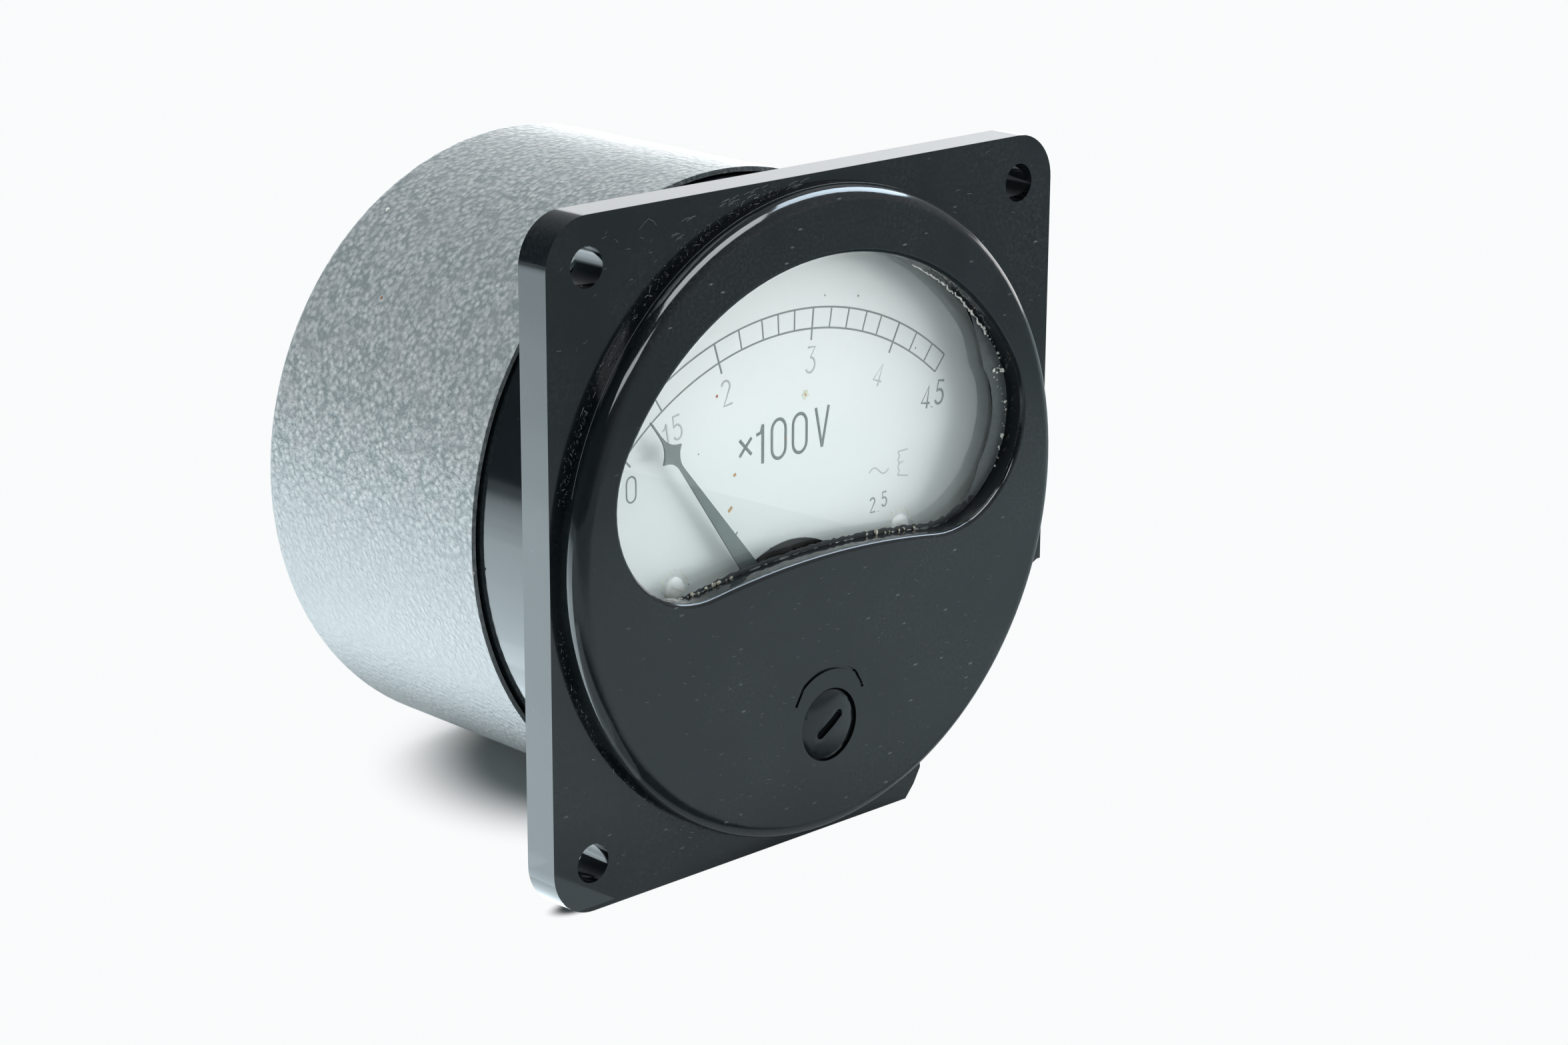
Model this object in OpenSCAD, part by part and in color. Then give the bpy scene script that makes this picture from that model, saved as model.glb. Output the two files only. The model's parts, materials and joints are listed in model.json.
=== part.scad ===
// Square-flange panel voltmeter with a moving-iron movement; one flange corner is broken off.
// Millimetres. +Z is up, the dial looks along -Y, and Y = 0 is the flange face that seats on the panel.

/* [Flange] */
// Side of the square flange
flange_w = 80; // [79:0.1:84]
// Flange thickness
flange_t = 4.5; // [3.5:0.1:6]
// Radius of the flange corners
corner_r = 5.8; // [3:0.1:8]
// Distance of the fixing holes' centres from the flange's edges
hole_edge = 5.75; // [5:0.05:7]
// Fixing hole diameter
hole_d = 4.6; // [3.2:0.1:5.2]

/* [Raised front] */
// How far the raised round front stands out past the neck
bezel_step = 2.15; // [1.5:0.05:2.2]
// How far it stands in front of the flange
bezel_h = 3.1; // [2.4:0.1:4]
// Rounding of its front edge
bezel_round = 1.9; // [0.8:0.1:2.2]
// Thickness of the front wall
wall_t = 2.2; // [1.9:0.1:2.6]

/* [Window] */
// Radius of the arc over the window
win_top_r = 36; // [34:0.1:36.4]
// Height of that arc's centre
win_top_z = -5.1; // [-6:0.1:-4.6]
// Radius of the lower corners
win_corner_r = 12.7; // [12:0.1:14]
// Radius of the bowed sill
sill_r = 120; // [90:1:200]
// Height of the sill at its middle
sill_z = -4.25; // [-5:0.05:-3.5]

/* [Broken corner] */
// Height at which the right edge ends
break_z = -14; // [-20:0.5:-12]
// Place at which the bottom edge ends
break_x = 16.4; // [15:0.1:22]
// How far inside the raised front's edge the fracture runs
break_in = 0.55; // [0.3:0.05:1]
// Depth of its waves
break_wave = 0.22; // [0:0.02:0.4]

/* [Neck and can] */
// Wall of the neck
neck_wall = 1.5; // [1.2:0.1:1.7]
// Length of the neck behind the flange
neck_len = 15; // [13:0.5:20]
// Distance from the panel face to the can's rim
can_start = 11.1; // [8:0.1:12.5]
// Length of the can
can_len = 38.9; // [38:0.1:48]
// Sheet thickness of the can
can_wall = 0.6; // [0.4:0.05:1]
// Gap between can and neck, all round
can_clear = 0.3; // [0.1:0.05:0.5]
// Outside rounding of the can's back edge
can_round = 1.6; // [1.2:0.1:3]

/* [Glass] */
// Pane thickness
glass_t = 1.8; // [1.2:0.1:2.2]
// How far the pane reaches past the window, all round
glass_lap = 1.2; // [0.8:0.1:1.4]
// Height of the moulded seat for the pane
glass_seat = 0.7; // [0.4:0.1:1]
// Width of the cement round the pane
cement_w = 0.5; // [0.3:0.05:0.6]
// Least room between the cement and the neck
pane_room = 0.25; // [0.1:0.05:0.5]
// Thickness of the cement
cement_t = 1.3; // [0.8:0.1:1.8]

/* [Dial] */
// Diameter of the dial plate
dial_d = 70; // [66:0.1:72]
// Room between the dial's edge and the neck
dial_room = 0.8; // [0.5:0.05:1.2]
// Dial plate thickness
dial_t = 0.6; // [0.4:0.05:0.8]
// Height of its straight lower edge
dial_low_z = -10.2; // [-10.6:0.1:-9]
// Diameter of its cut-out round the spindle
dial_hole_d = 24.4; // [22:0.1:26]
// Sideways place of the dial screws
dial_screw_x = 18.4; // [17.5:0.1:21]
// Height of the dial screws
dial_screw_z = -6.3; // [-7:0.1:-6]
// Room between dial and frame plate
dial_gap = 0.88; // [0.7:0.02:1.4]

/* [Pointer] */
// Height of the spindle
pivot_z = -16.36; // [-16.8:0.02:-16]
// Angle of the pointer at rest, from straight up
rest_angle = -37.1; // [-46:0.1:-30]
// Length from spindle to tip
pointer_len = 38.9; // [37.5:0.1:39.4]
// Blade thickness
pointer_t = 0.25; // [0.15:0.05:0.4]
// Room between glass and blade
pointer_air = 1.025; // [0.8:0.025:1.6]
// Room between blade and dial
pointer_lift = 1.745; // [1.5:0.005:2.4]
// Half width of the spade point
spade_w = 1.77; // [1.5:0.01:2]
// Half width of the shaft at the spade
waist_w = 0.26; // [0.2:0.01:0.35]
// Half width of the shaft at the hub
root_w = 1.75; // [1.2:0.05:1.8]
// Angle between the balance arms and the pointer
balance_angle = 145; // [142:1:150]
// Reach of the balance arms
balance_len = 5.9; // [5.2:0.1:6.3]

/* [Movement] */
// Spindle diameter
spindle_d = 1.4; // [1.2:0.1:1.6]
// Diameter of the spindle's pivots
pivot_d = 0.5; // [0.4:0.05:0.7]
// Running clearance on the radius
run_clear = 0.05; // [0.03:0.01:0.08]
// Diameter of the jewel screws
jewel_d = 2.5; // [2.2:0.1:3]
// Thickness of the front bridge
bridge_t = 1.2; // [1:0.05:1.4]
// Half distance between the front bridge's legs
bridge_x = 20.5; // [19.5:0.1:21.5]
// Frame plate thickness
plate_t = 1.4; // [1:0.1:2]
// Clearance between frame plate and housing
plate_clear = 1.3; // [1:0.1:1.8]
// Distance of the frame screws from the plate's edge
boss_in = 1.95; // [1.9:0.05:2.4]
// Bore of the coil former
bobbin_bore_d = 14; // [13:0.1:15]
// Wall of the coil former
bobbin_wall = 1; // [0.8:0.1:1.3]
// Outer diameter of the winding
coil_d = 27.6; // [26:0.1:28.8]
// Length of the winding
coil_len = 13; // [11:0.5:16]
// Reach of the damper vane from the spindle
vane_r = 14; // [12:0.1:14.6]
// Gap between the magnet's poles
magnet_gap = 1.6; // [1.3:0.1:2]
// Half distance between the rear posts
post_x = 13; // [12:0.1:14]
// Height of the rear posts above the spindle
post_up = 17.5; // [17:0.1:18.5]
// Diameter of the posts
post_d = 4.4; // [4:0.1:5]

/* [Zero adjuster] */
// Height of the adjuster
adj_z = -25.4; // [-25.8:0.1:-25]
// Diameter of its head
adj_head_d = 8.5; // [7.5:0.1:9]
// Ring gap round the head
adj_ring = 0.22; // [0.15:0.01:0.4]
// Depth of the recess that the head sits in
adj_recess = 1.35; // [1:0.05:1.45]
// How far the domed head stands proud
adj_proud = 0.2; // [0.05:0.05:0.5]
// Shank diameter
adj_shank_d = 5; // [4.4:0.1:5.4]
// Offset of the crank pin
crank = 1; // [0.7:0.05:1.1]
// Diameter of the crank pin
crank_d = 1.2; // [1:0.05:1.4]
// Angle of the screwdriver slot above the horizontal
slot_angle = 34; // [0:1:180]
// Radius of the engraved arc over the adjuster
mark_r = 7; // [6:0.1:7.2]

/* [Resistor] */
// Height of the resistor spool
spool_z = 18; // [17:0.1:20]
// Flange diameter of the spool
spool_d = 21; // [18:0.1:23]
// Length of the spool's winding
spool_len = 15; // [12:0.5:18]

/* [Terminals] */
// Distance between the terminal studs
term_pitch = 30; // [26:0.5:34]
// Height of the terminal studs
term_z = 0; // [-3:0.5:3]
// Stud diameter
stud_d = 5; // [4:0.1:5]
// How far the studs reach past the back of the can
stud_out = 14; // [13:0.5:20]
// Width of the nuts across flats
nut_af = 8; // [7:0.1:9]
// Nut thickness
nut_t = 4; // [3:0.1:5]
// Half distance between the can posts
can_post_x = 24; // [23:0.1:25]
// Height of the can posts
can_post_z = 16; // [14:0.1:17]

/* [Hidden] */
$fn = 96;
// Overlap of a cut past the face that it opens
eps = 0.5;

// Colours
bakelite = "#26282b";
brass = "#b89a55";
steel = "#9aa0a4";
aluminium = "#c9cdd0";
iron = "#5d6266";
enamel = "#a9b2b3";

// Depths, front to back
face_y = -flange_t - bezel_h;
wall_in_y = face_y + wall_t;
glass_y = wall_in_y + glass_seat;
glass_back_y = glass_y + glass_t;
blade_y = glass_back_y + pointer_air;
blade_back_y = blade_y + pointer_t;
dial_y = blade_back_y + pointer_lift;
plate_y = dial_y + dial_t + dial_gap;
plate_back_y = plate_y + plate_t;
can_back_y = can_start + can_len;
can_floor_y = can_back_y - can_wall;

// Window: the lower corner circles touch the top arc from inside and the sill arc from outside
sill_c = [0, sill_z - sill_r];
top_c = [0, win_top_z];
reach_top = win_top_r - win_corner_r;
reach_sill = sill_r + win_corner_r;
drop = win_top_z - sill_c[1];
corner_z = win_top_z + (reach_sill * reach_sill - reach_top * reach_top - drop * drop) / (2 * drop);
corner_x = sqrt(reach_top * reach_top - pow(corner_z - win_top_z, 2));
top_a = atan2(corner_z - win_top_z, corner_x);
sill_a = atan2(corner_z - sill_c[1], corner_x);

// Radii of the shells: the neck clears both the dial and the cement round the pane
pane_reach = max(norm([corner_x, corner_z]) + win_corner_r, win_top_z + win_top_r) + glass_lap + cement_w;
cavity_r = max(dial_d / 2 + dial_room, pane_reach + pane_room);
neck_r = cavity_r + neck_wall;
can_in_r = neck_r + can_clear;
can_r = can_in_r + can_wall;
bezel_r = neck_r + bezel_step;
break_r = bezel_r - break_in;
hole_at = flange_w / 2 - hole_edge;

// Frame screws: two at the sides and one below the adjuster
plate_r = cavity_r - plate_clear;
boss_reach = plate_r - boss_in;
boss_a = 26.3;
boss_x = boss_reach * cos(boss_a);
boss_z = -boss_reach * sin(boss_a);
boss_low_z = -boss_reach;
boss_r = 3;
frame_screw_r = 1.25;
frame_head_r = 1.9;

// Front bearing, from the front wall backwards
bridge_room = 1;
bridge_y = wall_in_y + bridge_room;
bridge_back_y = bridge_y + bridge_t;
bridge_h = 7;
bridge_leg = 3;
nut_small_af = 5;
nut_small_t = 0.8;
jewel_out = 0.75;
jewel_in = 0.25;
pivot_len = 0.6;
front_shoulder_y = bridge_back_y + jewel_in + run_clear;
spindle_r = spindle_d / 2;
pivot_r = pivot_d / 2;
jewel_r = jewel_d / 2;
stop_r = 3.4;
stop_pin_r = 0.4;
// Angles that the two stop pins hold the balance arms to, from straight up
stop_right_a = 85;
stop_left_a = -88.5;

// Hub, weights and spring on the spindle
hub_r = 1.6;
hub_front = 0.62;
hub_back = 0.52;
arm_r = 0.3;
weight_r = 0.8;
weight_len = 1.6;
collet_r = 1.3;
spring_w = 0.4;
spring_t = 0.16;
spring_turns = 4.25;
lever_t = 0.6;
lever_front_y = plate_y - 1;
spring_y = lever_front_y - 0.95;
collet_y = spring_y - 0.15;
collet_len = 0.65;

// Zero lever
lever_bore_r = 2.55;
lever_boss_r = lever_bore_r - run_clear;
lever_ring_r = 4;
fork_reach = 11.6;
fork_w = 3.4;
fork_play = 0.1;
stud_reach = 6.3;
stud_pin_r = 0.45;
stud_a = 120;
clip_gap = 0.07;
clip_t = 0.25;
lever_clip_r = 3.3;
crank_end_y = plate_y - 0.2;

// Coil
bobbin_r = bobbin_bore_d / 2 + bobbin_wall;
bobbin_flange_t = 1;
bobbin_flange_r = coil_d / 2 + 1.2;
bobbin_flat = coil_d / 2 + 0.4;
coil_y = plate_back_y + bobbin_flange_t;
coil_back_y = coil_y + coil_len;
bobbin_back_y = coil_back_y + bobbin_flange_t;
iron_t = 0.4;
iron_in_r = bobbin_bore_d / 2 - 2.2;
iron_end = 1.5;

// Damper and rear bearing
magnet_pole_t = 2.5;
magnet_w = 10;
magnet_near = 8;
magnet_yoke = vane_r + 1.2;
magnet_far = magnet_yoke + 4.3;
magnet_y = bobbin_back_y + 1.2;
magnet_back_y = magnet_y + 2 * magnet_pole_t + magnet_gap;
vane_t = 0.3;
vane_y = magnet_y + magnet_pole_t + (magnet_gap - vane_t) / 2;
rear_bridge_t = 1.4;
rear_bridge_y = magnet_back_y + 1.4;
rear_bridge_back_y = rear_bridge_y + rear_bridge_t;
rear_arm_w = 5;
rear_eye_r = 3.2;
rear_shoulder_y = rear_bridge_y - jewel_in - run_clear;
post_r = post_d / 2;
post_z = pivot_z + post_up;

// Screws
screw_small_r = 1;
screw_small_head_r = 1.5;
screw_mid_r = 1.5;
screw_mid_head_r = 2.75;

// Resistor spool
spool_flange_t = 1;
spool_tube_r = 3.5;
spool_wire_r = spool_d / 2 - 1;
spool_back_y = plate_back_y + 2 * spool_flange_t + spool_len;
screw_slip = 0.1;

// Terminals
stud_r = stud_d / 2;
stud_head_r = 4.2;
stud_head_t = 2.2;
inner_washer_t = 2;
inner_washer_r = 6.2;
bush_t = 3;
bush_r = 6.5;
bush_neck_r = 3.9;
bush_slip = 0.1;
term_x = term_pitch / 2;
stud_head_y = can_floor_y - inner_washer_t - stud_head_t;
nut_y = can_back_y + bush_t;

// Leads
lead_r = 0.6;
lead_sides = 8;
lead_ref = [0.9, 0.1, 0.45];

// A rod along Y
module rod(r, y0, y1) {
    translate([0, y0, 0]) rotate([-90, 0, 0]) cylinder(r = r, h = y1 - y0);
}

// An outline in X and Z, drawn out along Y
module slab(y0, y1) {
    translate([0, y1, 0]) rotate([90, 0, 0]) linear_extrude(y1 - y0) children();
}

// A profile of radius and depth, turned about the Y axis
module turned() {
    rotate([-90, 0, 0]) rotate_extrude() children();
}

module at(x, z) {
    translate([x, 0, z]) children();
}

// What turns with the pointer, drawn with the pointer straight up
module on_spindle() {
    translate([0, 0, pivot_z]) rotate([0, rest_angle, 0]) children();
}

// Slotted screw at a head seat, its head towards the front or the back
module screw_front(seat_y, r, len, head_r, head_h) {
    translate([0, seat_y, 0]) rotate([90, 0, 0]) slotted(r, len, head_r, head_h);
}

module screw_back(seat_y, r, len, head_r, head_h) {
    translate([0, seat_y, 0]) rotate([-90, 0, 0]) slotted(r, len, head_r, head_h);
}

module slotted(r, len, head_r, head_h) {
    difference() {
        union() {
            translate([0, 0, -len]) cylinder(r = r, h = len + head_h / 2);
            cylinder(r = head_r, h = head_h);
        }
        translate([-head_r - eps, -head_r * 0.14, head_h * 0.5])
            cube([2 * (head_r + eps), head_r * 0.28, head_h]);
    }
}

module hex_nut(af, bore_r, y0, t) {
    difference() {
        translate([0, y0, 0]) rotate([-90, 0, 0]) cylinder(d = af / cos(30), h = t, $fn = 6);
        rod(bore_r, y0 - eps, y0 + t + eps);
    }
}

function arc_points(c, r, a0, a1, n) =
    [for (i = [0:n]) let (a = a0 + (a1 - a0) * i / n) [c[0] + r * cos(a), c[1] + r * sin(a)]];

// Window outline, with every edge moved outward by grow
function window_points(grow) = concat(
    arc_points([corner_x, corner_z], win_corner_r + grow, sill_a - 180, top_a, 22),
    arc_points(top_c, win_top_r + grow, top_a, 180 - top_a, 44),
    arc_points([-corner_x, corner_z], win_corner_r + grow, 180 - top_a, 360 - sill_a, 22),
    arc_points(sill_c, sill_r - grow, 180 - sill_a, sill_a, 20));

module rounded_square(w, r) {
    square([w, w - 2 * r], center = true);
    square([w - 2 * r, w], center = true);
    for (x = [-1, 1], z = [-1, 1])
        translate([x * (w / 2 - r), z * (w / 2 - r)]) circle(r = r);
}

// The piece of flange that is missing: the fracture runs just behind the raised front
break_a0 = atan2(break_z - 1, break_r);
break_a1 = -90 + atan2(break_x + 5, break_r);
function break_points() = concat(
    [[flange_w, break_z], [flange_w / 2 - 0.6, break_z - 0.1], [flange_w / 2 - 1.6, break_z - 0.6]],
    [for (i = [0:14]) let (a = break_a0 + (break_a1 - break_a0) * i / 14,
        r = break_r + break_wave * (sin(i * 77) + sin(i * 141)))
        [r * cos(a), r * sin(a)]],
    [[break_x + 2.5, -flange_w / 2 + 3.5], [break_x + 1.4, -flange_w / 2 + 1.6],
     [break_x, -flange_w / 2], [break_x, -flange_w], [flange_w, -flange_w]]);

module housing_shell() {
    difference() {
        union() {
            difference() {
                slab(-flange_t, 0) rounded_square(flange_w, corner_r);
                slab(-flange_t - eps, eps) polygon(break_points());
            }
            translate([0, face_y, 0]) turned() bezel_profile();
            rod(neck_r, -flange_t, neck_len);
        }
        rod(cavity_r, wall_in_y, neck_len + eps);
    }
}

// Half section of the raised front, its front face on the axis line
module bezel_profile() {
    depth = bezel_h + flange_t / 2;
    square([bezel_r - bezel_round, depth]);
    translate([0, bezel_round]) square([neck_r, depth - bezel_round]);
    translate([0, bezel_round]) square([bezel_r, bezel_h - bezel_round]);
    translate([bezel_r - bezel_round, bezel_round]) circle(r = bezel_round);
}

// Engraved arc with straight tails, over the adjuster
module adjuster_mark() {
    mark_half = 38;
    tail = 2.4;
    mark_w = 0.42;
    at(0, adj_z) {
        slab(face_y - eps, face_y + 0.3) difference() {
            polygon(concat([[0, 0]], arc_points([0, 0], mark_r + mark_w / 2, 90 - mark_half,
                90 + mark_half, 20)));
            circle(r = mark_r - mark_w / 2);
        }
        for (s = [-1, 1])
            rotate([0, s * mark_half, 0]) translate([0, 0, mark_r]) rotate([0, s * 22, 0])
                slab(face_y - eps, face_y + 0.3)
                    translate([s > 0 ? 0 : -tail, -mark_w / 2]) square([tail, mark_w]);
    }
}

module housing() {
    color(bakelite) difference() {
        union() {
            housing_shell();
            intersection() {
                slab(wall_in_y - eps, glass_y)
                    polygon(window_points(glass_lap + cement_w + 0.4));
                rod(cavity_r + eps, wall_in_y - 2 * eps, glass_y + eps);
            }
            for (p = [[-boss_x, boss_z], [boss_x, boss_z], [0, boss_low_z]])
                intersection() {
                    at(p[0], p[1]) rod(boss_r, wall_in_y - eps, plate_y);
                    rod(cavity_r + eps, wall_in_y - 2 * eps, plate_y + eps);
                }
        }
        slab(face_y - eps, glass_y + eps) polygon(window_points(0));
        at(0, adj_z) {
            rod(adj_head_d / 2 + adj_ring, face_y - eps, face_y + adj_recess);
            rod(adj_shank_d / 2 + run_clear, face_y, wall_in_y + eps);
        }
        adjuster_mark();
        for (x = [-1, 1], z = [-1, 1])
            at(x * hole_at, z * hole_at) rod(hole_d / 2, -flange_t - eps, eps);
        for (p = [[-boss_x, boss_z], [boss_x, boss_z], [0, boss_low_z]])
            at(p[0], p[1]) rod(frame_screw_r, plate_y - 5, plate_y + eps);
    }
}

module glass() {
    color("#dfeaec", 0.35) slab(glass_y, glass_back_y) polygon(window_points(glass_lap));
}

module glass_cement() {
    color("#cfc08a") slab(glass_y, glass_y + cement_t) difference() {
        polygon(window_points(glass_lap + cement_w));
        polygon(window_points(glass_lap));
    }
}

module dial() {
    color("#eceeea") slab(dial_y, dial_y + dial_t) difference() {
        circle(d = dial_d);
        translate([-dial_d, dial_low_z - dial_d]) square([2 * dial_d, dial_d]);
        translate([0, pivot_z]) circle(d = dial_hole_d);
        for (x = [-1, 1]) translate([x * dial_screw_x, dial_screw_z]) circle(r = screw_small_r);
    }
}

module dial_screw(side) {
    color(steel) at(side * dial_screw_x, dial_screw_z)
        screw_front(dial_y, screw_small_r, dial_t + dial_gap + plate_t, screw_small_head_r, 0.8);
}

module dial_screw_left() {
    dial_screw(-1);
}

module dial_screw_right() {
    dial_screw(1);
}

// Domed slotted head, grooved shank and crank pin in one piece
module zero_screw() {
    head_r = adj_head_d / 2;
    edge_y = face_y + 0.3;
    dome_h = edge_y - (face_y - adj_proud);
    dome_r = (head_r * head_r + dome_h * dome_h) / (2 * dome_h);
    seat_y = face_y + adj_recess - run_clear;
    slot_len = 4.6;
    slot_w = 1.1;
    slot_deep = 0.8;
    color(bakelite) at(0, adj_z) {
        difference() {
            union() {
                rod(head_r, edge_y, seat_y);
                intersection() {
                    rod(head_r, edge_y - dome_h, edge_y + eps / 2);
                    translate([0, edge_y - dome_h + dome_r, 0]) sphere(r = dome_r, $fn = 160);
                }
                rod(adj_shank_d / 2, seat_y - eps, zero_groove_y);
                rod(zero_groove_r, zero_groove_y - eps, zero_groove_y + zero_clip_t + eps);
                rod(adj_shank_d / 2, zero_groove_y + zero_clip_t, zero_groove_y + 2.5 * zero_clip_t);
            }
            slab(face_y - 2, face_y - adj_proud + slot_deep) rotate(slot_angle) {
                square([slot_len - slot_w, slot_w], center = true);
                for (s = [-1, 1]) translate([s * (slot_len - slot_w) / 2, 0]) circle(d = slot_w);
            }
        }
        at(0, -crank) rod(crank_d / 2, zero_groove_y + 2 * zero_clip_t, crank_end_y);
    }
}

zero_clip_t = 0.5;
zero_clip_r = 3.7;
zero_groove_r = adj_shank_d / 2 - 0.4;
zero_groove_y = wall_in_y + run_clear;

// Spring clip that holds the adjuster in the front wall
module zero_clip() {
    color(steel) at(0, adj_z) slab(zero_groove_y, zero_groove_y + zero_clip_t) difference() {
        circle(r = zero_clip_r);
        circle(r = zero_groove_r);
        translate([0, -1.2]) square([zero_clip_r + eps, 2.4]);
    }
}

module zero_lever() {
    slot_w = crank_d + 2 * fork_play;
    slot_top = pivot_z - adj_z + crank - 2.4 * crank;
    color(brass) at(0, pivot_z) {
        slab(lever_front_y, lever_front_y + lever_t) difference() {
            union() {
                circle(r = lever_ring_r);
                translate([-fork_w / 2, -fork_reach]) square([fork_w, fork_reach]);
                rotate(90 - stud_a) translate([0, -0.8]) square([stud_reach, 1.6]);
                rotate(90 - stud_a) translate([stud_reach, 0]) circle(r = 0.8);
            }
            circle(r = lever_bore_r);
            translate([-slot_w / 2, -fork_reach - eps]) square([slot_w, fork_reach + eps - slot_top]);
            translate([0, -slot_top]) circle(d = slot_w);
        }
        rotate([0, stud_a, 0]) at(0, stud_reach) rod(stud_pin_r, spring_y - 0.1, lever_front_y + lever_t);
    }
}

// Ring that keeps the lever on its boss
module lever_clip() {
    color(steel) at(0, pivot_z) difference() {
        rod(lever_clip_r, lever_front_y - clip_gap - clip_t, lever_front_y - clip_gap);
        rod(lever_boss_r, lever_front_y - 2, lever_front_y + eps);
    }
}

// Flat spiral from the collet out to the stud on the lever
module hairspring() {
    turn = 360 * spring_turns;
    steps = 34 * 4;
    r0 = collet_r + spring_t / 2;
    r1 = stud_reach;
    // The outer end stops short of the stud
    end_a = 90 - stud_a - asin((stud_pin_r + 0.06) / stud_reach);
    inner = [for (i = [0:steps]) let (r = r0 + (r1 - r0) * i / steps - spring_t / 2,
        a = end_a - turn + turn * i / steps) [r * cos(a), r * sin(a)]];
    outer = [for (i = [steps:-1:0]) let (r = r0 + (r1 - r0) * i / steps + spring_t / 2,
        a = end_a - turn + turn * i / steps) [r * cos(a), r * sin(a)]];
    color("#c08a4a") at(0, pivot_z) slab(spring_y, spring_y + spring_w) polygon(concat(inner, outer));
}

module collet() {
    color(brass) at(0, pivot_z) difference() {
        rod(collet_r, collet_y, collet_y + collet_len);
        rod(spindle_r, collet_y - eps, collet_y + collet_len + eps);
    }
}

module spindle() {
    color(steel) at(0, pivot_z) {
        rod(spindle_r, front_shoulder_y, rear_shoulder_y);
        rod(pivot_r, front_shoulder_y - pivot_len, front_shoulder_y + eps);
        rod(pivot_r, rear_shoulder_y - eps, rear_shoulder_y + pivot_len);
    }
}

// Blade outline, pointing up, with concave flanks on the spade
module blade_outline() {
    needle_w = 0.12;
    spade_top = pointer_len - 2.6;
    spade_low = pointer_len - 7.7;
    flank_top_r = 3.2;
    flank_low_r = (pow(spade_w - waist_w, 2) + 5.76) / (2 * (spade_w - waist_w));
    shaft_low = 2;
    foot_w = 1.2;
    foot_low = 1;
    difference() {
        translate([-spade_w, spade_low]) square([2 * spade_w, spade_top - spade_low]);
        for (s = [-1, 1]) {
            translate([s * (flank_top_r + needle_w + 0.03), spade_top]) circle(r = flank_top_r);
            translate([s * (flank_low_r + waist_w), spade_low]) circle(r = flank_low_r);
        }
    }
    polygon([[-needle_w, spade_top - 0.2], [needle_w, spade_top - 0.2], [needle_w * 0.7, pointer_len],
             [-needle_w * 0.7, pointer_len]]);
    polygon([[-foot_w, foot_low], [foot_w, foot_low], [root_w, shaft_low], [waist_w, spade_low + 0.05],
             [-waist_w, spade_low + 0.05], [-root_w, shaft_low]]);
}

module pointer() {
    color("#5a6062") on_spindle() {
        difference() {
            union() {
                rod(hub_r, blade_y - hub_front, blade_back_y + hub_back);
                slab(blade_y, blade_back_y) blade_outline();
                for (s = [-1, 1])
                    rotate([0, s * balance_angle, 0]) translate([0, blade_y + pointer_t / 2, 0])
                        cylinder(r = arm_r, h = balance_len, $fn = 24);
            }
            rod(spindle_r, blade_y - 2, blade_back_y + 2);
        }
    }
}

// Wire-wound weight on a balance arm
module balance_weight(side) {
    color(brass) on_spindle() rotate([0, side * balance_angle, 0])
        translate([0, blade_y + pointer_t / 2, balance_len - weight_len]) difference() {
            cylinder(r = weight_r, h = weight_len, $fn = 48);
            translate([0, 0, -eps]) cylinder(r = arm_r, h = weight_len + 2 * eps, $fn = 24);
        }
}

module balance_weight_left() {
    balance_weight(-1);
}

module balance_weight_right() {
    balance_weight(1);
}

// Curved sheet about the spindle, from angle a0 to a1 clockwise from straight up
module curved_sheet(r_in, r_out, y0, y1, a0, a1) {
    rotate([0, a1 - 90, 0]) translate([0, y1, 0]) rotate([90, 0, 0])
        rotate_extrude(angle = a1 - a0) translate([r_in, 0]) square([r_out - r_in, y1 - y0]);
}

module moving_iron() {
    a0 = 100;
    a1 = 160;
    y0 = coil_y + iron_end;
    y1 = coil_back_y - iron_end;
    color(iron) on_spindle() {
        curved_sheet(iron_in_r, iron_in_r + iron_t, y0, y1, a0, a1);
        for (y = [y0 + 1, y1 - 1])
            difference() {
                union() {
                    rod(1.3, y - 0.5, y + 0.5);
                    rotate([0, (a0 + a1) / 2, 0]) translate([0, y, 0])
                        cylinder(r = 0.35, h = iron_in_r + iron_t / 2, $fn = 24);
                }
                rod(spindle_r, y - 1, y + 1);
            }
    }
}

module fixed_iron() {
    color(iron) at(0, pivot_z)
        curved_sheet(bobbin_bore_d / 2 - iron_t, bobbin_bore_d / 2, coil_y + iron_end,
            coil_back_y - iron_end, 40, 110);
}

// Aluminium sector that swings through the magnet's gap
module damper_vane() {
    half = 60;
    color(aluminium) on_spindle() difference() {
        union() {
            slab(vane_y, vane_y + vane_t) polygon(concat([[0, 0]],
                arc_points([0, 0], vane_r, 90 - half, 90 + half, 40)));
            rod(hub_r, vane_y - 0.4, vane_y + vane_t + 0.4);
        }
        rod(spindle_r, vane_y - 2, vane_y + 2);
    }
}

// Strap with two legs to the frame plate, and the pins that stop the balance arms
module front_bridge() {
    x1 = bridge_x + bridge_leg / 2;
    color(brass) at(0, pivot_z) difference() {
        union() {
            translate([-x1, bridge_y, -bridge_h / 2]) cube([2 * x1, bridge_t, bridge_h]);
            for (s = [-1, 1])
                translate([s * bridge_x - bridge_leg / 2, bridge_y, -bridge_h / 2])
                    cube([bridge_leg, plate_y - bridge_y, bridge_h]);
            for (a = [stop_right_a, stop_left_a])
                rotate([0, a, 0]) at(0, stop_r) rod(stop_pin_r, bridge_y + eps, blade_back_y + 0.6);
        }
        rod(jewel_r, bridge_y - eps, bridge_back_y + eps);
        for (s = [-1, 1])
            at(s * bridge_x, 0) rod(screw_small_r, plate_y - 4, plate_y + eps);
    }
}

module bridge_screw(side) {
    color(steel) at(side * bridge_x, pivot_z)
        screw_back(plate_back_y, screw_small_r, plate_t + 3, screw_small_head_r + 0.3, 1.2);
}

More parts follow.
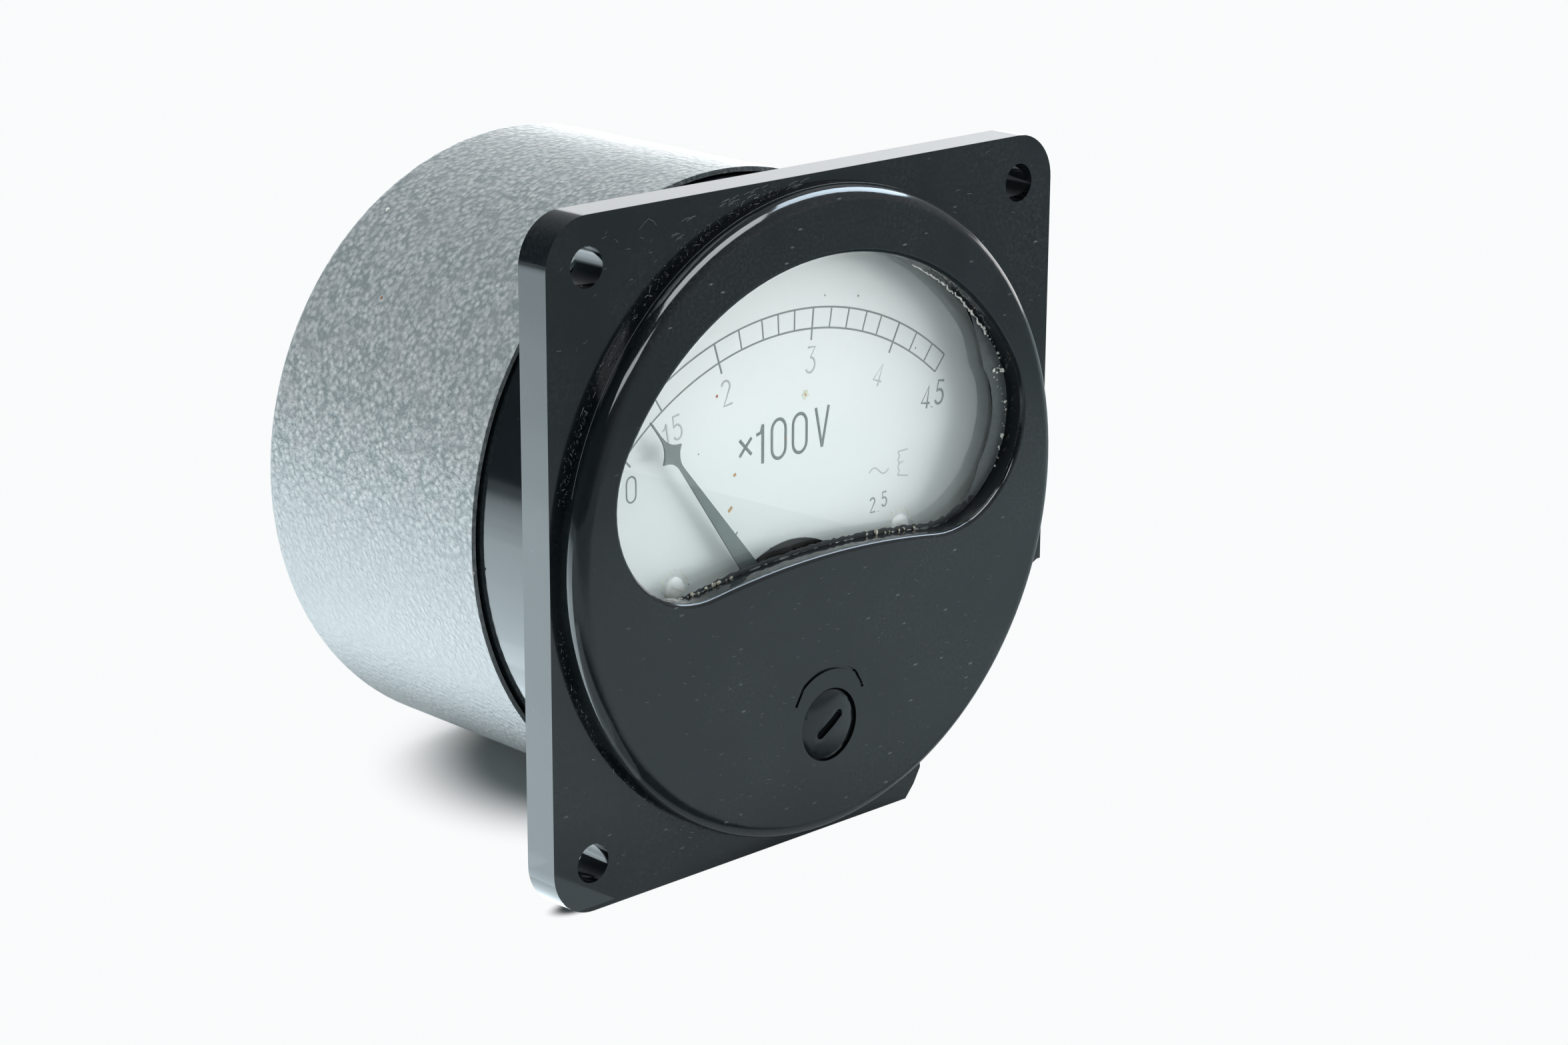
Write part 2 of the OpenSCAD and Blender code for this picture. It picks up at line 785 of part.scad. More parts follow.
module bridge_screw_left() {
    bridge_screw(-1);
}

module bridge_screw_right() {
    bridge_screw(1);
}

// Bearing screw with a cup for the pivot at one end and a slot at the other
module jewel_screw(y_slot, y_cup) {
    toward = y_cup > y_slot ? 1 : -1;
    difference() {
        rod(jewel_r, min(y_slot, y_cup), max(y_slot, y_cup));
        rod(pivot_r + run_clear, y_cup - (toward > 0 ? pivot_len + run_clear : eps),
            y_cup + (toward > 0 ? eps : pivot_len + run_clear));
        translate([-jewel_r - eps, y_slot - 0.35, -0.2]) cube([2 * (jewel_r + eps), 0.7, 0.4]);
    }
}

module front_jewel() {
    color(brass) at(0, pivot_z) jewel_screw(bridge_y - jewel_out, bridge_back_y + jewel_in);
}

module front_nut() {
    color(brass) at(0, pivot_z)
        hex_nut(nut_small_af, jewel_r, bridge_y - nut_small_t, nut_small_t);
}

// Disc that carries the movement, with a boss for the zero lever and posts for the dial
module frame_plate() {
    color(steel) difference() {
        union() {
            rod(plate_r, plate_y, plate_back_y);
            at(0, pivot_z) rod(lever_boss_r, lever_front_y - 0.35, plate_y + eps);
            for (x = [-1, 1])
                at(x * dial_screw_x, dial_screw_z) rod(2.2, dial_y + dial_t, plate_y + eps);
        }
        at(0, pivot_z) rod(spindle_r + 0.8, lever_front_y - 2, plate_back_y + eps);
        for (x = [-1, 1]) {
            at(x * dial_screw_x, dial_screw_z) rod(screw_small_r, dial_y, plate_back_y + eps);
            at(x * bridge_x, pivot_z) rod(screw_small_r, plate_y - eps, plate_back_y + eps);
            at(x * can_post_x, can_post_z) rod(screw_mid_r, plate_y - eps, plate_back_y + eps);
            at(x * post_x, post_z) rod(screw_mid_r, plate_y - eps, plate_back_y + eps);
        }
        for (p = [[-boss_x, boss_z], [boss_x, boss_z], [0, boss_low_z]])
            at(p[0], p[1]) rod(frame_screw_r + 0.1, plate_y - eps, plate_back_y + eps);
        at(0, spool_z) rod(screw_mid_r, plate_y - eps, plate_back_y + eps);
    }
}

module frame_screw(x, z) {
    color(steel) at(x, z) screw_back(plate_back_y, frame_screw_r, plate_t + 4, frame_head_r, 1.4);
}

module frame_screw_left() {
    frame_screw(-boss_x, boss_z);
}

module frame_screw_right() {
    frame_screw(boss_x, boss_z);
}

module frame_screw_low() {
    frame_screw(0, boss_low_z);
}

// Coil former, its flanges cut flat below
module bobbin() {
    color("#3a2c22") at(0, pivot_z) difference() {
        union() {
            rod(bobbin_r, plate_back_y, bobbin_back_y);
            intersection() {
                union() {
                    rod(bobbin_flange_r, plate_back_y, coil_y);
                    rod(bobbin_flange_r, coil_back_y, bobbin_back_y);
                }
                translate([-30, 0, -bobbin_flat]) cube([60, 60, 60]);
            }
        }
        rod(bobbin_bore_d / 2, plate_back_y - eps, bobbin_back_y + eps);
    }
}

module coil() {
    color("#8a4a2a") at(0, pivot_z) difference() {
        rod(coil_d / 2, coil_y, coil_back_y);
        rod(bobbin_r, coil_y - eps, coil_back_y + eps);
    }
}

// Bar in the plane of X and Z between two points
module bar_outline(p, q, w) {
    d = q - p;
    translate(p) rotate(atan2(d[1], d[0])) translate([0, -w / 2]) square([norm(d), w]);
}

module rear_bridge() {
    color(brass) at(0, pivot_z) difference() {
        union() {
            slab(rear_bridge_y, rear_bridge_back_y) {
                for (s = [-1, 1]) {
                    bar_outline([0, 0], [s * post_x, post_up], rear_arm_w);
                    translate([s * post_x, post_up]) circle(r = rear_eye_r);
                }
                bar_outline([-post_x, post_up], [post_x, post_up], rear_arm_w);
                circle(r = rear_eye_r);
            }
            translate([-magnet_w / 2, magnet_back_y, magnet_yoke])
                cube([magnet_w, rear_bridge_y - magnet_back_y + eps, magnet_far - magnet_yoke]);
        }
        rod(jewel_r, rear_bridge_y - eps, rear_bridge_back_y + eps);
        for (s = [-1, 1])
            at(s * post_x, post_up) rod(frame_screw_r, rear_bridge_y - eps, rear_bridge_back_y + eps);
    }
}

// Turned post, riveted into the frame plate and tapped at its free end
module turned_post(r, spigot_r, y_end, tap_r, tap_len) {
    difference() {
        union() {
            rod(r, plate_back_y, y_end);
            rod(spigot_r, plate_y, plate_back_y + eps);
        }
        rod(tap_r, y_end - tap_len, y_end + eps);
    }
}

module rear_post_left() {
    color(brass) at(-post_x, post_z) turned_post(post_r, screw_mid_r, rear_bridge_y, frame_screw_r, 6);
}

module rear_post_right() {
    color(brass) at(post_x, post_z) turned_post(post_r, screw_mid_r, rear_bridge_y, frame_screw_r, 6);
}

module rear_screw(side) {
    color(steel) at(side * post_x, post_z)
        screw_back(rear_bridge_back_y, frame_screw_r, rear_bridge_t + 5, 2.2, 1.6);
}

module rear_screw_left() {
    rear_screw(-1);
}

module rear_screw_right() {
    rear_screw(1);
}

module rear_jewel() {
    color(brass) at(0, pivot_z)
        jewel_screw(rear_bridge_back_y + 1, rear_bridge_y - jewel_in);
}

module rear_nut() {
    color(brass) at(0, pivot_z) hex_nut(nut_small_af, jewel_r, rear_bridge_back_y, nut_small_t);
}

// Horseshoe whose two poles stand either side of the vane
module damper_magnet() {
    color(iron) at(0, pivot_z) difference() {
        translate([-magnet_w / 2, magnet_y, magnet_near])
            cube([magnet_w, magnet_back_y - magnet_y, magnet_far - magnet_near]);
        translate([-magnet_w / 2 - eps, magnet_y + magnet_pole_t, magnet_near - eps])
            cube([magnet_w + 2 * eps, magnet_gap, magnet_yoke - magnet_near + eps]);
    }
}

module resistor_spool() {
    color("#4a3a2a") at(0, spool_z) difference() {
        union() {
            rod(spool_tube_r, plate_back_y, spool_back_y);
            rod(spool_d / 2, plate_back_y, plate_back_y + spool_flange_t);
            rod(spool_d / 2, spool_back_y - spool_flange_t, spool_back_y);
        }
        rod(screw_mid_r + screw_slip, plate_back_y - eps, spool_back_y + eps);
    }
}

module resistor_winding() {
    color("#6b5636") at(0, spool_z) difference() {
        rod(spool_wire_r, plate_back_y + spool_flange_t, spool_back_y - spool_flange_t);
        rod(spool_tube_r, plate_back_y, spool_back_y);
    }
}

module resistor_screw() {
    color(steel) at(0, spool_z)
        screw_back(spool_back_y, screw_mid_r, spool_back_y - plate_y, screw_mid_head_r, 1.8);
}

// Drawn cup, open towards the front
module can() {
    color(enamel) difference() {
        turned() {
            difference() {
                can_section(can_r, can_start, can_back_y, can_round);
                can_section(can_in_r, can_start - 1, can_floor_y, can_round - can_wall);
            }
        }
        for (s = [-1, 1]) {
            at(s * term_x, term_z) rod(bush_neck_r + bush_slip, can_floor_y - eps, can_back_y + eps);
            at(s * can_post_x, can_post_z)
                rod(screw_mid_r + screw_slip, can_floor_y - eps, can_back_y + eps);
        }
    }
}

// Half section of a cup from y0 to y1, rounded at its far edge
module can_section(r, y0, y1, round) {
    translate([0, y0]) square([r - round, y1 - y0]);
    translate([0, y0]) square([r, y1 - y0 - round]);
    translate([r - round, y1 - round]) circle(r = round);
}

module can_post_left() {
    color(brass) at(-can_post_x, can_post_z)
        turned_post(2.5, screw_mid_r, can_floor_y, screw_mid_r, 9);
}

module can_post_right() {
    color(brass) at(can_post_x, can_post_z)
        turned_post(2.5, screw_mid_r, can_floor_y, screw_mid_r, 9);
}

module can_screw(side) {
    color(steel) at(side * can_post_x, can_post_z)
        screw_back(can_back_y, screw_mid_r, can_wall + 7, screw_mid_head_r, 1.8);
}

module can_screw_left() {
    can_screw(-1);
}

module can_screw_right() {
    can_screw(1);
}

module stud(side) {
    tip = 0.5;
    end_y = can_back_y + stud_out;
    color(brass) at(side * term_x, term_z) turned() polygon([[0, stud_head_y],
        [stud_head_r, stud_head_y], [stud_head_r, stud_head_y + stud_head_t],
        [stud_r, stud_head_y + stud_head_t], [stud_r, end_y - tip], [stud_r - tip, end_y], [0, end_y]]);
}

module stud_left() {
    stud(-1);
}

module stud_right() {
    stud(1);
}

// Insulating bush, its neck in the hole of the can
module bush(side) {
    color("#3b2a20") at(side * term_x, term_z) difference() {
        union() {
            rod(bush_neck_r, can_floor_y, can_back_y + eps);
            rod(bush_r, can_back_y, can_back_y + bush_t);
        }
        rod(stud_r + bush_slip, can_floor_y - eps, can_back_y + bush_t + eps);
    }
}

module bush_left() {
    bush(-1);
}

module bush_right() {
    bush(1);
}

module inner_washer(side) {
    color("#3b2a20") at(side * term_x, term_z) difference() {
        rod(inner_washer_r, can_floor_y - inner_washer_t, can_floor_y);
        rod(stud_r + bush_slip, can_floor_y - inner_washer_t - eps, can_floor_y + eps);
    }
}

module inner_washer_left() {
    inner_washer(-1);
}

module inner_washer_right() {
    inner_washer(1);
}

module terminal_nut(side, y0) {
    color(brass) at(side * term_x, term_z) hex_nut(nut_af, stud_r, y0, nut_t);
}

module nut_left() {
    terminal_nut(-1, nut_y);
}

module nut_right() {
    terminal_nut(1, nut_y);
}

module clamp_nut_left() {
    terminal_nut(-1, nut_y + nut_t);
}

module clamp_nut_right() {
    terminal_nut(1, nut_y + nut_t);
}

// Insulated wire: one tube swept along its route, square to each end
function unit(v) = v / norm(v);
function lead_dir(route, i) = unit(
    (i == 0 ? [0, 0, 0] : unit(route[i] - route[i - 1]))
    + (i == len(route) - 1 ? [0, 0, 0] : unit(route[i + 1] - route[i])));
function lead_points(route) = [
    for (i = [0:len(route) - 1])
        let (d = lead_dir(route, i), u = unit(cross(d, lead_ref)), v = cross(u, d))
            for (k = [0:lead_sides - 1])
                let (a = 360 * k / lead_sides) route[i] + lead_r * (cos(a) * u + sin(a) * v)];
function lead_faces(m, n) = concat(
    [[for (k = [n - 1:-1:0]) k]],
    [[for (k = [0:n - 1]) (m - 1) * n + k]],
    [for (i = [0:m - 2], k = [0:n - 1])
        [i * n + (k + 1) % n, (i + 1) * n + (k + 1) % n, (i + 1) * n + k]],
    [for (i = [0:m - 2], k = [0:n - 1])
        [i * n + (k + 1) % n, (i + 1) * n + k, i * n + k]]);

module lead(route) {
    color("#7d2f2a") polyhedron(lead_points(route), lead_faces(len(route), lead_sides));
}

module lead_supply() {
    lead([[-term_x, stud_head_y, term_z], [-term_x, stud_head_y - 4, term_z], [-14, 34, 5],
        [-10.5, 28, 11.5], [-7.5, spool_back_y + 4, spool_z - 3], [-7.5, spool_back_y, spool_z - 3]]);
}

module lead_link() {
    lead([[7, spool_back_y, spool_z - 4], [7, spool_back_y + 2.2, spool_z - 4],
        [7.6, spool_back_y + 3.2, 9], [8, 22.5, 3], [8, bobbin_back_y + 2.6, pivot_z + 12.9],
        [8, bobbin_back_y, pivot_z + 12.9]]);
}

module lead_return() {
    lead([[12, bobbin_back_y, pivot_z + 6.9], [12, bobbin_back_y + 2, pivot_z + 6.9],
        [17.5, 25, pivot_z + 6.9], [17.5, 37, -4], [term_x, stud_head_y - 3, term_z],
        [term_x, stud_head_y, term_z]]);
}

housing();
glass();
glass_cement();
dial();
dial_screw_left();
dial_screw_right();
zero_screw();
zero_clip();
zero_lever();
lever_clip();
hairspring();
collet();
spindle();
pointer();
balance_weight_left();
balance_weight_right();
moving_iron();
damper_vane();
front_bridge();
bridge_screw_left();
bridge_screw_right();
front_jewel();
front_nut();
frame_plate();
frame_screw_left();
frame_screw_right();
frame_screw_low();
bobbin();
coil();
fixed_iron();
rear_bridge();
rear_post_left();
rear_post_right();
rear_screw_left();
rear_screw_right();
rear_jewel();
rear_nut();
damper_magnet();
resistor_spool();
resistor_winding();
resistor_screw();
can();
can_post_left();
can_post_right();
can_screw_left();
can_screw_right();
stud_left();
stud_right();
bush_left();
bush_right();
inner_washer_left();
inner_washer_right();
nut_left();
nut_right();
clamp_nut_left();
clamp_nut_right();
lead_supply();
lead_link();
lead_return();
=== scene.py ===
import json
import math
import random

import bpy
from mathutils import Matrix, Vector

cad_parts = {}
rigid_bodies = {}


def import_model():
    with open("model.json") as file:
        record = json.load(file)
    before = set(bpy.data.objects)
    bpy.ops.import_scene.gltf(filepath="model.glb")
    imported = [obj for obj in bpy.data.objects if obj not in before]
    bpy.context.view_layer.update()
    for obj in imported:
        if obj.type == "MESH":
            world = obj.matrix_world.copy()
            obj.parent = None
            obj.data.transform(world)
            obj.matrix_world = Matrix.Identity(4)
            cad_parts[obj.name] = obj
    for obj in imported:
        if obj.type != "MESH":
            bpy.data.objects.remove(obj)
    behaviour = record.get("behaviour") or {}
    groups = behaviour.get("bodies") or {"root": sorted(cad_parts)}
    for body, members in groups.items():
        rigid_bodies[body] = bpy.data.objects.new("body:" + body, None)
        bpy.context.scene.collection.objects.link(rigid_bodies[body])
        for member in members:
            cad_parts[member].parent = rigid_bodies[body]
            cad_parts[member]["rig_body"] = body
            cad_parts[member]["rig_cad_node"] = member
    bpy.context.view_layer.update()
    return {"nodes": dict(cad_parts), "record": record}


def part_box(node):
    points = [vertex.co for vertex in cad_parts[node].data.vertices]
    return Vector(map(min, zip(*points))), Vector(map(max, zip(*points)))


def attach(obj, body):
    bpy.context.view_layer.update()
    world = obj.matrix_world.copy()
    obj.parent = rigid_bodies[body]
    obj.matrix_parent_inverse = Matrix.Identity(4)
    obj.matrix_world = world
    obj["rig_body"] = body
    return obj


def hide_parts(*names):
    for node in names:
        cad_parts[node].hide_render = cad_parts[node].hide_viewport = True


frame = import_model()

nodes = frame["nodes"]
record = frame["record"]
slot_of = {row["node"]: row["material_slot"] for row in record["subparts"]}
body_of = {node: body for body, members in record["behaviour"]["bodies"].items() for node in members}
scene = bpy.context.scene
scene.view_settings.view_transform = "Standard"

# Named sizes of the object are in millimetres; the floor, the lamps and Blender's own calls are in metres
MM = 0.001
# Points of a mesh nearer to each other than this, in metres, are one point
WELD = 2e-6
# A point this near to the flange's face, or to the raised front's wall or face, is on it
ON_FLANGE = 0.02
ON_FRONT = 0.05

FACE_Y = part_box("housing")[0].y / MM
FLANGE_Y = -4.5
DIAL_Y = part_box("dial")[0].y / MM
STUD_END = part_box("stud_left")[1].y / MM
STUD_X = 15
SPINDLE_Z = -16.36
ADJUSTER_Z = -25.4
# Radius of the raised front, in the solids and as it is seen
SOLID_DISC_R = 39.45
DISC_R = 38.7


# working at the bench

def clear_bench():
    if bpy.context.object and bpy.context.object.mode != "OBJECT":
        bpy.ops.object.mode_set(mode="OBJECT")
    bpy.ops.object.select_all(action="DESELECT")


def pick(*pieces):
    clear_bench()
    for piece in pieces:
        piece.select_set(True)
    bpy.context.view_layer.objects.active = pieces[0]


def open_mesh():
    """Opens the active piece's mesh with all of it selected."""
    bpy.ops.object.mode_set(mode="EDIT")
    bpy.ops.mesh.select_all(action="SELECT")


def close_mesh():
    bpy.ops.object.mode_set(mode="OBJECT")


def ready_to_choose(piece, kind):
    """Leaves a piece with nothing selected, for points or edges to be chosen by their place."""
    pick(piece)
    bpy.ops.object.mode_set(mode="EDIT")
    bpy.ops.mesh.select_mode(type=kind)
    bpy.ops.mesh.select_all(action="DESELECT")
    bpy.ops.object.mode_set(mode="OBJECT")


def settle(piece):
    """Puts a piece's place into its mesh."""
    pick(piece)
    bpy.ops.object.transform_apply(location=True, rotation=True, scale=True)
    return piece


def take(name):
    """The piece just made, under its own name."""
    piece = bpy.context.object
    piece.name = name
    piece.data.name = name
    return piece


def apply_modifier(piece, kind, **settings):
    pick(piece)
    tool = piece.modifiers.new(kind.lower(), kind)
    for key, value in settings.items():
        setattr(tool, key, value)
    bpy.ops.object.modifier_apply(modifier=tool.name)


def smooth(piece, angle):
    pick(piece)
    bpy.ops.object.shade_smooth_by_angle(angle=math.radians(angle))


def join(name, pieces):
    pick(*pieces)
    if len(pieces) > 1:
        bpy.ops.object.join()
    return take(name)


def drawn(name, routes, radius, sides, widths=()):
    """Round strokes through lists of points, as one mesh; widths swell them from point to point."""
    clear_bench()
    bpy.ops.curve.primitive_bezier_curve_add()
    line = take(name)
    curve = line.data
    curve.splines.clear()
    curve.dimensions = "3D"
    curve.bevel_depth = radius * MM
    curve.bevel_resolution = sides
    curve.use_fill_caps = True
    for route in routes:
        spline = curve.splines.new("POLY")
        spline.points.add(len(route) - 1)
        for point, place in zip(spline.points, route):
            point.co = (*(c * MM for c in place), 1)
        for point, width in zip(spline.points, widths):
            point.radius = width
    pick(line)
    bpy.ops.object.convert(target="MESH")
    return take(name)


def dress(piece, finish, body, replaces=()):
    piece.data.materials.clear()
    piece.data.materials.append(finish)
    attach(piece, body)
    if replaces:
        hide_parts(*replaces)


# finishes

class Finish:
    """One procedural material on the piece's own coordinates; grain sizes and relief are in millimetres."""

    def __init__(self, name):
        self.material = bpy.data.materials.new(name)
        self.material.use_nodes = True
        self.tree = self.material.node_tree
        self.tree.nodes.clear()
        self.out = self.node("OutputMaterial")
        self.skin = self.node("BsdfPrincipled")
        self.tree.links.new(self.skin.outputs[0], self.out.inputs[0])
        self.place = self.node("TexCoord").outputs["Object"]

    def node(self, kind):
        return self.tree.nodes.new("ShaderNode" + kind)

    def feed(self, value, socket):
        """Links another node's output to a socket, or sets the socket's own value."""
        if isinstance(value, bpy.types.NodeSocket):
            self.tree.links.new(value, socket)
        elif isinstance(value, tuple):
            socket.default_value = (*value, 1)
        else:
            socket.default_value = value

    def set(self, **values):
        for key, value in values.items():
            self.skin.inputs[key.replace("_", " ")].default_value = value

    def link(self, source, key):
        self.tree.links.new(source, self.skin.inputs[key])

    def coordinate(self, axis):
        split = self.node("SeparateXYZ")
        self.tree.links.new(self.place, split.inputs[0])
        return split.outputs[axis]

    def laid(self, stretch=None, seed=0.0):
        """The piece's coordinates, stretched and shifted."""
        if not (stretch or seed):
            return self.place
        lay = self.node("Mapping")
        lay.inputs["Scale"].default_value = stretch or (1, 1, 1)
        lay.inputs["Location"].default_value = (seed, seed * 0.7, seed * 1.3)
        self.tree.links.new(self.place, lay.inputs["Vector"])
        return lay.outputs[0]

    def noise(self, size, detail=3.0, rough=0.55, seed=0.0):
        tex = self.node("TexNoise")
        tex.inputs["Scale"].default_value = 1000 / size
        tex.inputs["Detail"].default_value = detail
        tex.inputs["Roughness"].default_value = rough
        self.tree.links.new(self.laid(seed=seed), tex.inputs["Vector"])
        return tex.outputs["Fac"]

    def cells(self, size, output="Distance", stretch=None, melt=None):
        """Cells round scattered points; melt runs neighbouring cells together."""
        tex = self.node("TexVoronoi")
        tex.inputs["Scale"].default_value = 1000 / size
        if melt:
            tex.feature = "SMOOTH_F1"
            tex.inputs["Smoothness"].default_value = melt
        self.tree.links.new(self.laid(stretch), tex.inputs["Vector"])
        return tex.outputs[output]

    def ramp(self, source, *stops):
        tex = self.node("ValToRGB")
        band = tex.color_ramp
        while len(band.elements) < len(stops):
            band.elements.new(0.5)
        for element, (at, value) in zip(band.elements, stops):
            element.position = at
            element.color = (value, value, value, 1)
        self.tree.links.new(source, tex.inputs[0])
        return tex.outputs[0]

    def eased(self, source, low, high):
        """A value eased from its span onto 0 to 1."""
        fade = self.node("MapRange")
        fade.interpolation_type = "SMOOTHSTEP"
        fade.inputs["From Min"].default_value = low
        fade.inputs["From Max"].default_value = high
        self.tree.links.new(source, fade.inputs["Value"])
        return fade.outputs[0]

    def mix(self, amount, a, b):
        tex = self.node("Mix")
        tex.data_type = "RGBA"
        for socket, value in ((tex.inputs[0], amount), (tex.inputs[6], a), (tex.inputs[7], b)):
            self.feed(value, socket)
        return tex.outputs[2]

    def sum(self, operation, a, b):
        tex = self.node("Math")
        tex.operation = operation
        for socket, value in zip(tex.inputs, (a, b)):
            self.feed(value, socket)
        return tex.outputs[0]

    def relief(self, height, strength, depth):
        tex = self.node("Bump")
        tex.inputs["Strength"].default_value = strength
        tex.inputs["Distance"].default_value = depth * MM
        self.tree.links.new(height, tex.inputs["Height"])
        self.link(tex.outputs[0], "Normal")

    def show(self, share, first, second):
        """Shows the second shader in place of the first, by its share."""
        both = self.node("MixShader")
        for source, socket in zip((share, first, second), both.inputs):
            self.tree.links.new(source, socket)
        self.tree.links.new(both.outputs[0], self.out.inputs[0])


def black_bakelite():
    """Satin black moulding with grit and a dusty film on it."""
    f = Finish("black_bakelite")
    tone = f.mix(f.noise(7, 4), (0.0035, 0.0060, 0.0075), (0.0065, 0.0105, 0.0125))
    lying = (0.35, 1, 1)
    grit = f.ramp(f.cells(1.5, stretch=lying), (0.0, 1.0), (0.07, 0.9), (0.10, 0.0))
    some = f.ramp(f.cells(1.5, "Color", lying), (0.62, 0.0), (0.72, 1.0))
    drift = f.ramp(f.noise(16, 3, seed=3), (0.42, 0.15), (0.62, 1.0))
    grains = f.sum("MULTIPLY", f.sum("MULTIPLY", grit, some), drift)
    film = f.sum("MULTIPLY", f.ramp(f.noise(0.4, 3, 0.75), (0.45, 0.0), (0.75, 0.07)), drift)
    dust = f.sum("MAXIMUM", f.sum("MULTIPLY", grains, 0.35), film)
    f.link(f.mix(dust, tone, (0.30, 0.33, 0.33)), "Base Color")
    sheen = f.ramp(f.noise(3, 4, 0.6, seed=1), (0.3, 0.07), (0.7, 0.12))
    f.link(f.sum("ADD", sheen, f.sum("MULTIPLY", dust, 0.5)), "Roughness")
    f.relief(f.noise(0.8, 4, 0.6, seed=2), 0.10, 0.015)
    f.set(IOR=1.56)
    return f.material


def hammer_paint():
    """Grey hammer finish; on the upper half the pits between the dimples are painted darker and the crowns
    paler, as painted shade and light of the relief.
    """
    f = Finish("hammer_paint")
    fleck = f.ramp(f.noise(0.55, 3, 0.6, seed=5), (0.39, 0.0), (0.69, 1.0))
    dimple = f.ramp(f.cells(0.80, melt=0.2), (0.12, 1.0), (0.78, 0.0))
    crown = f.sum("ADD", f.sum("MULTIPLY", fleck, 0.45), f.sum("MULTIPLY", dimple, 0.55))
    tops = f.ramp(crown, (0.18, 0.0), (0.82, 1.0))
    # The upper half's dark pits and pale crowns are painted shade and light of the relief; the lower half is
    # more even
    upper_pit_shade = f.mix(tops, (0.205, 0.247, 0.252), (0.50, 0.53, 0.535))
    less_shaded = f.mix(tops, (0.315, 0.342, 0.348), (0.40, 0.428, 0.435))
    upper = f.eased(f.coordinate("Z"), -0.010, 0.006)
    mottle = f.ramp(f.noise(3.5, 2, seed=4), (0.42, 0.0), (0.7, 0.35))
    f.link(f.mix(mottle, f.mix(upper, less_shaded, upper_pit_shade), (0.34, 0.345, 0.365)), "Base Color")
    f.link(f.ramp(fleck, (0.0, 0.30), (1.0, 0.37)), "Roughness")
    f.relief(crown, 1.0, 0.12)
    f.set(IOR=1.5)
    return f.material


def window_glass():
    """Clear pane that lets the light through to the dial."""
    f = Finish("window_glass")
    f.set(Base_Color=(0.97, 0.99, 0.985, 1), IOR=1.5, Transmission_Weight=1.0)
    f.link(f.ramp(f.noise(9, 3), (0.4, 0.0), (0.8, 0.03)), "Roughness")
    path = f.node("LightPath")
    clear = f.node("BsdfTransparent")
    clear.inputs[0].default_value = (0.93, 0.95, 0.945, 1)
    f.show(path.outputs["Is Shadow Ray"], f.skin.outputs[0], clear.outputs[0])
    return f.material


def plain(name, low, high, size, rough, metallic=0.0, relief=0.0, relief_size=0.4):
    """A finish with its tone and sheen drifting between two values, and a fine relief."""
    f = Finish(name)
    f.link(f.mix(f.noise(size), low, high), "Base Color")
    f.link(f.ramp(f.noise(size * 0.6, seed=2), (0.3, rough[0]), (0.7, rough[1])), "Roughness")
    if relief:
        f.relief(f.noise(relief_size, seed=6), 0.5, relief)
    f.set(Metallic=metallic)
    return f.material


def dial_white():
    """Matt white paint, darkened towards the sill by painted shade and brightened at the top by painted
    light.
    """
    f = Finish("dial_white")
    # Painted shade darkens the paint towards the sill, and painted light brightens its top
    less_shaded = f.eased(f.coordinate("Z"), -0.004, 0.026)
    shaded_low = f.mix(f.noise(11, 4), (0.715, 0.745, 0.735), (0.765, 0.785, 0.775))
    paper = f.mix(less_shaded, shaded_low, (0.91, 0.92, 0.915))
    soil = f.ramp(f.noise(1.1, 3, 0.6, seed=7), (0.60, 0.0), (0.78, 0.10))
    f.link(f.mix(soil, paper, (0.62, 0.60, 0.50)), "Base Color")
    f.link(f.ramp(f.noise(2, 2), (0.3, 0.42), (0.7, 0.55)), "Roughness")
    f.relief(f.noise(0.35, 2), 0.25, 0.01)
    return f.material


def wound_wire(name, low, high, pitch):
    """Wire wound round the Y direction, turn beside turn."""
    f = Finish(name)
    lay = f.node("TexWave")
    lay.bands_direction = "Y"
    lay.wave_profile = "SIN"
    lay.inputs["Scale"].default_value = 1000 / pitch / math.pi / 2
    lay.inputs["Distortion"].default_value = 0.4
    f.tree.links.new(f.place, lay.inputs["Vector"])
    f.link(f.mix(lay.outputs["Fac"], low, high), "Base Color")
    f.link(f.ramp(f.noise(2, 2), (0.3, 0.25), (0.7, 0.4)), "Roughness")
    f.relief(lay.outputs["Fac"], 0.6, 0.08)
    f.set(Metallic=0.8)
    return f.material


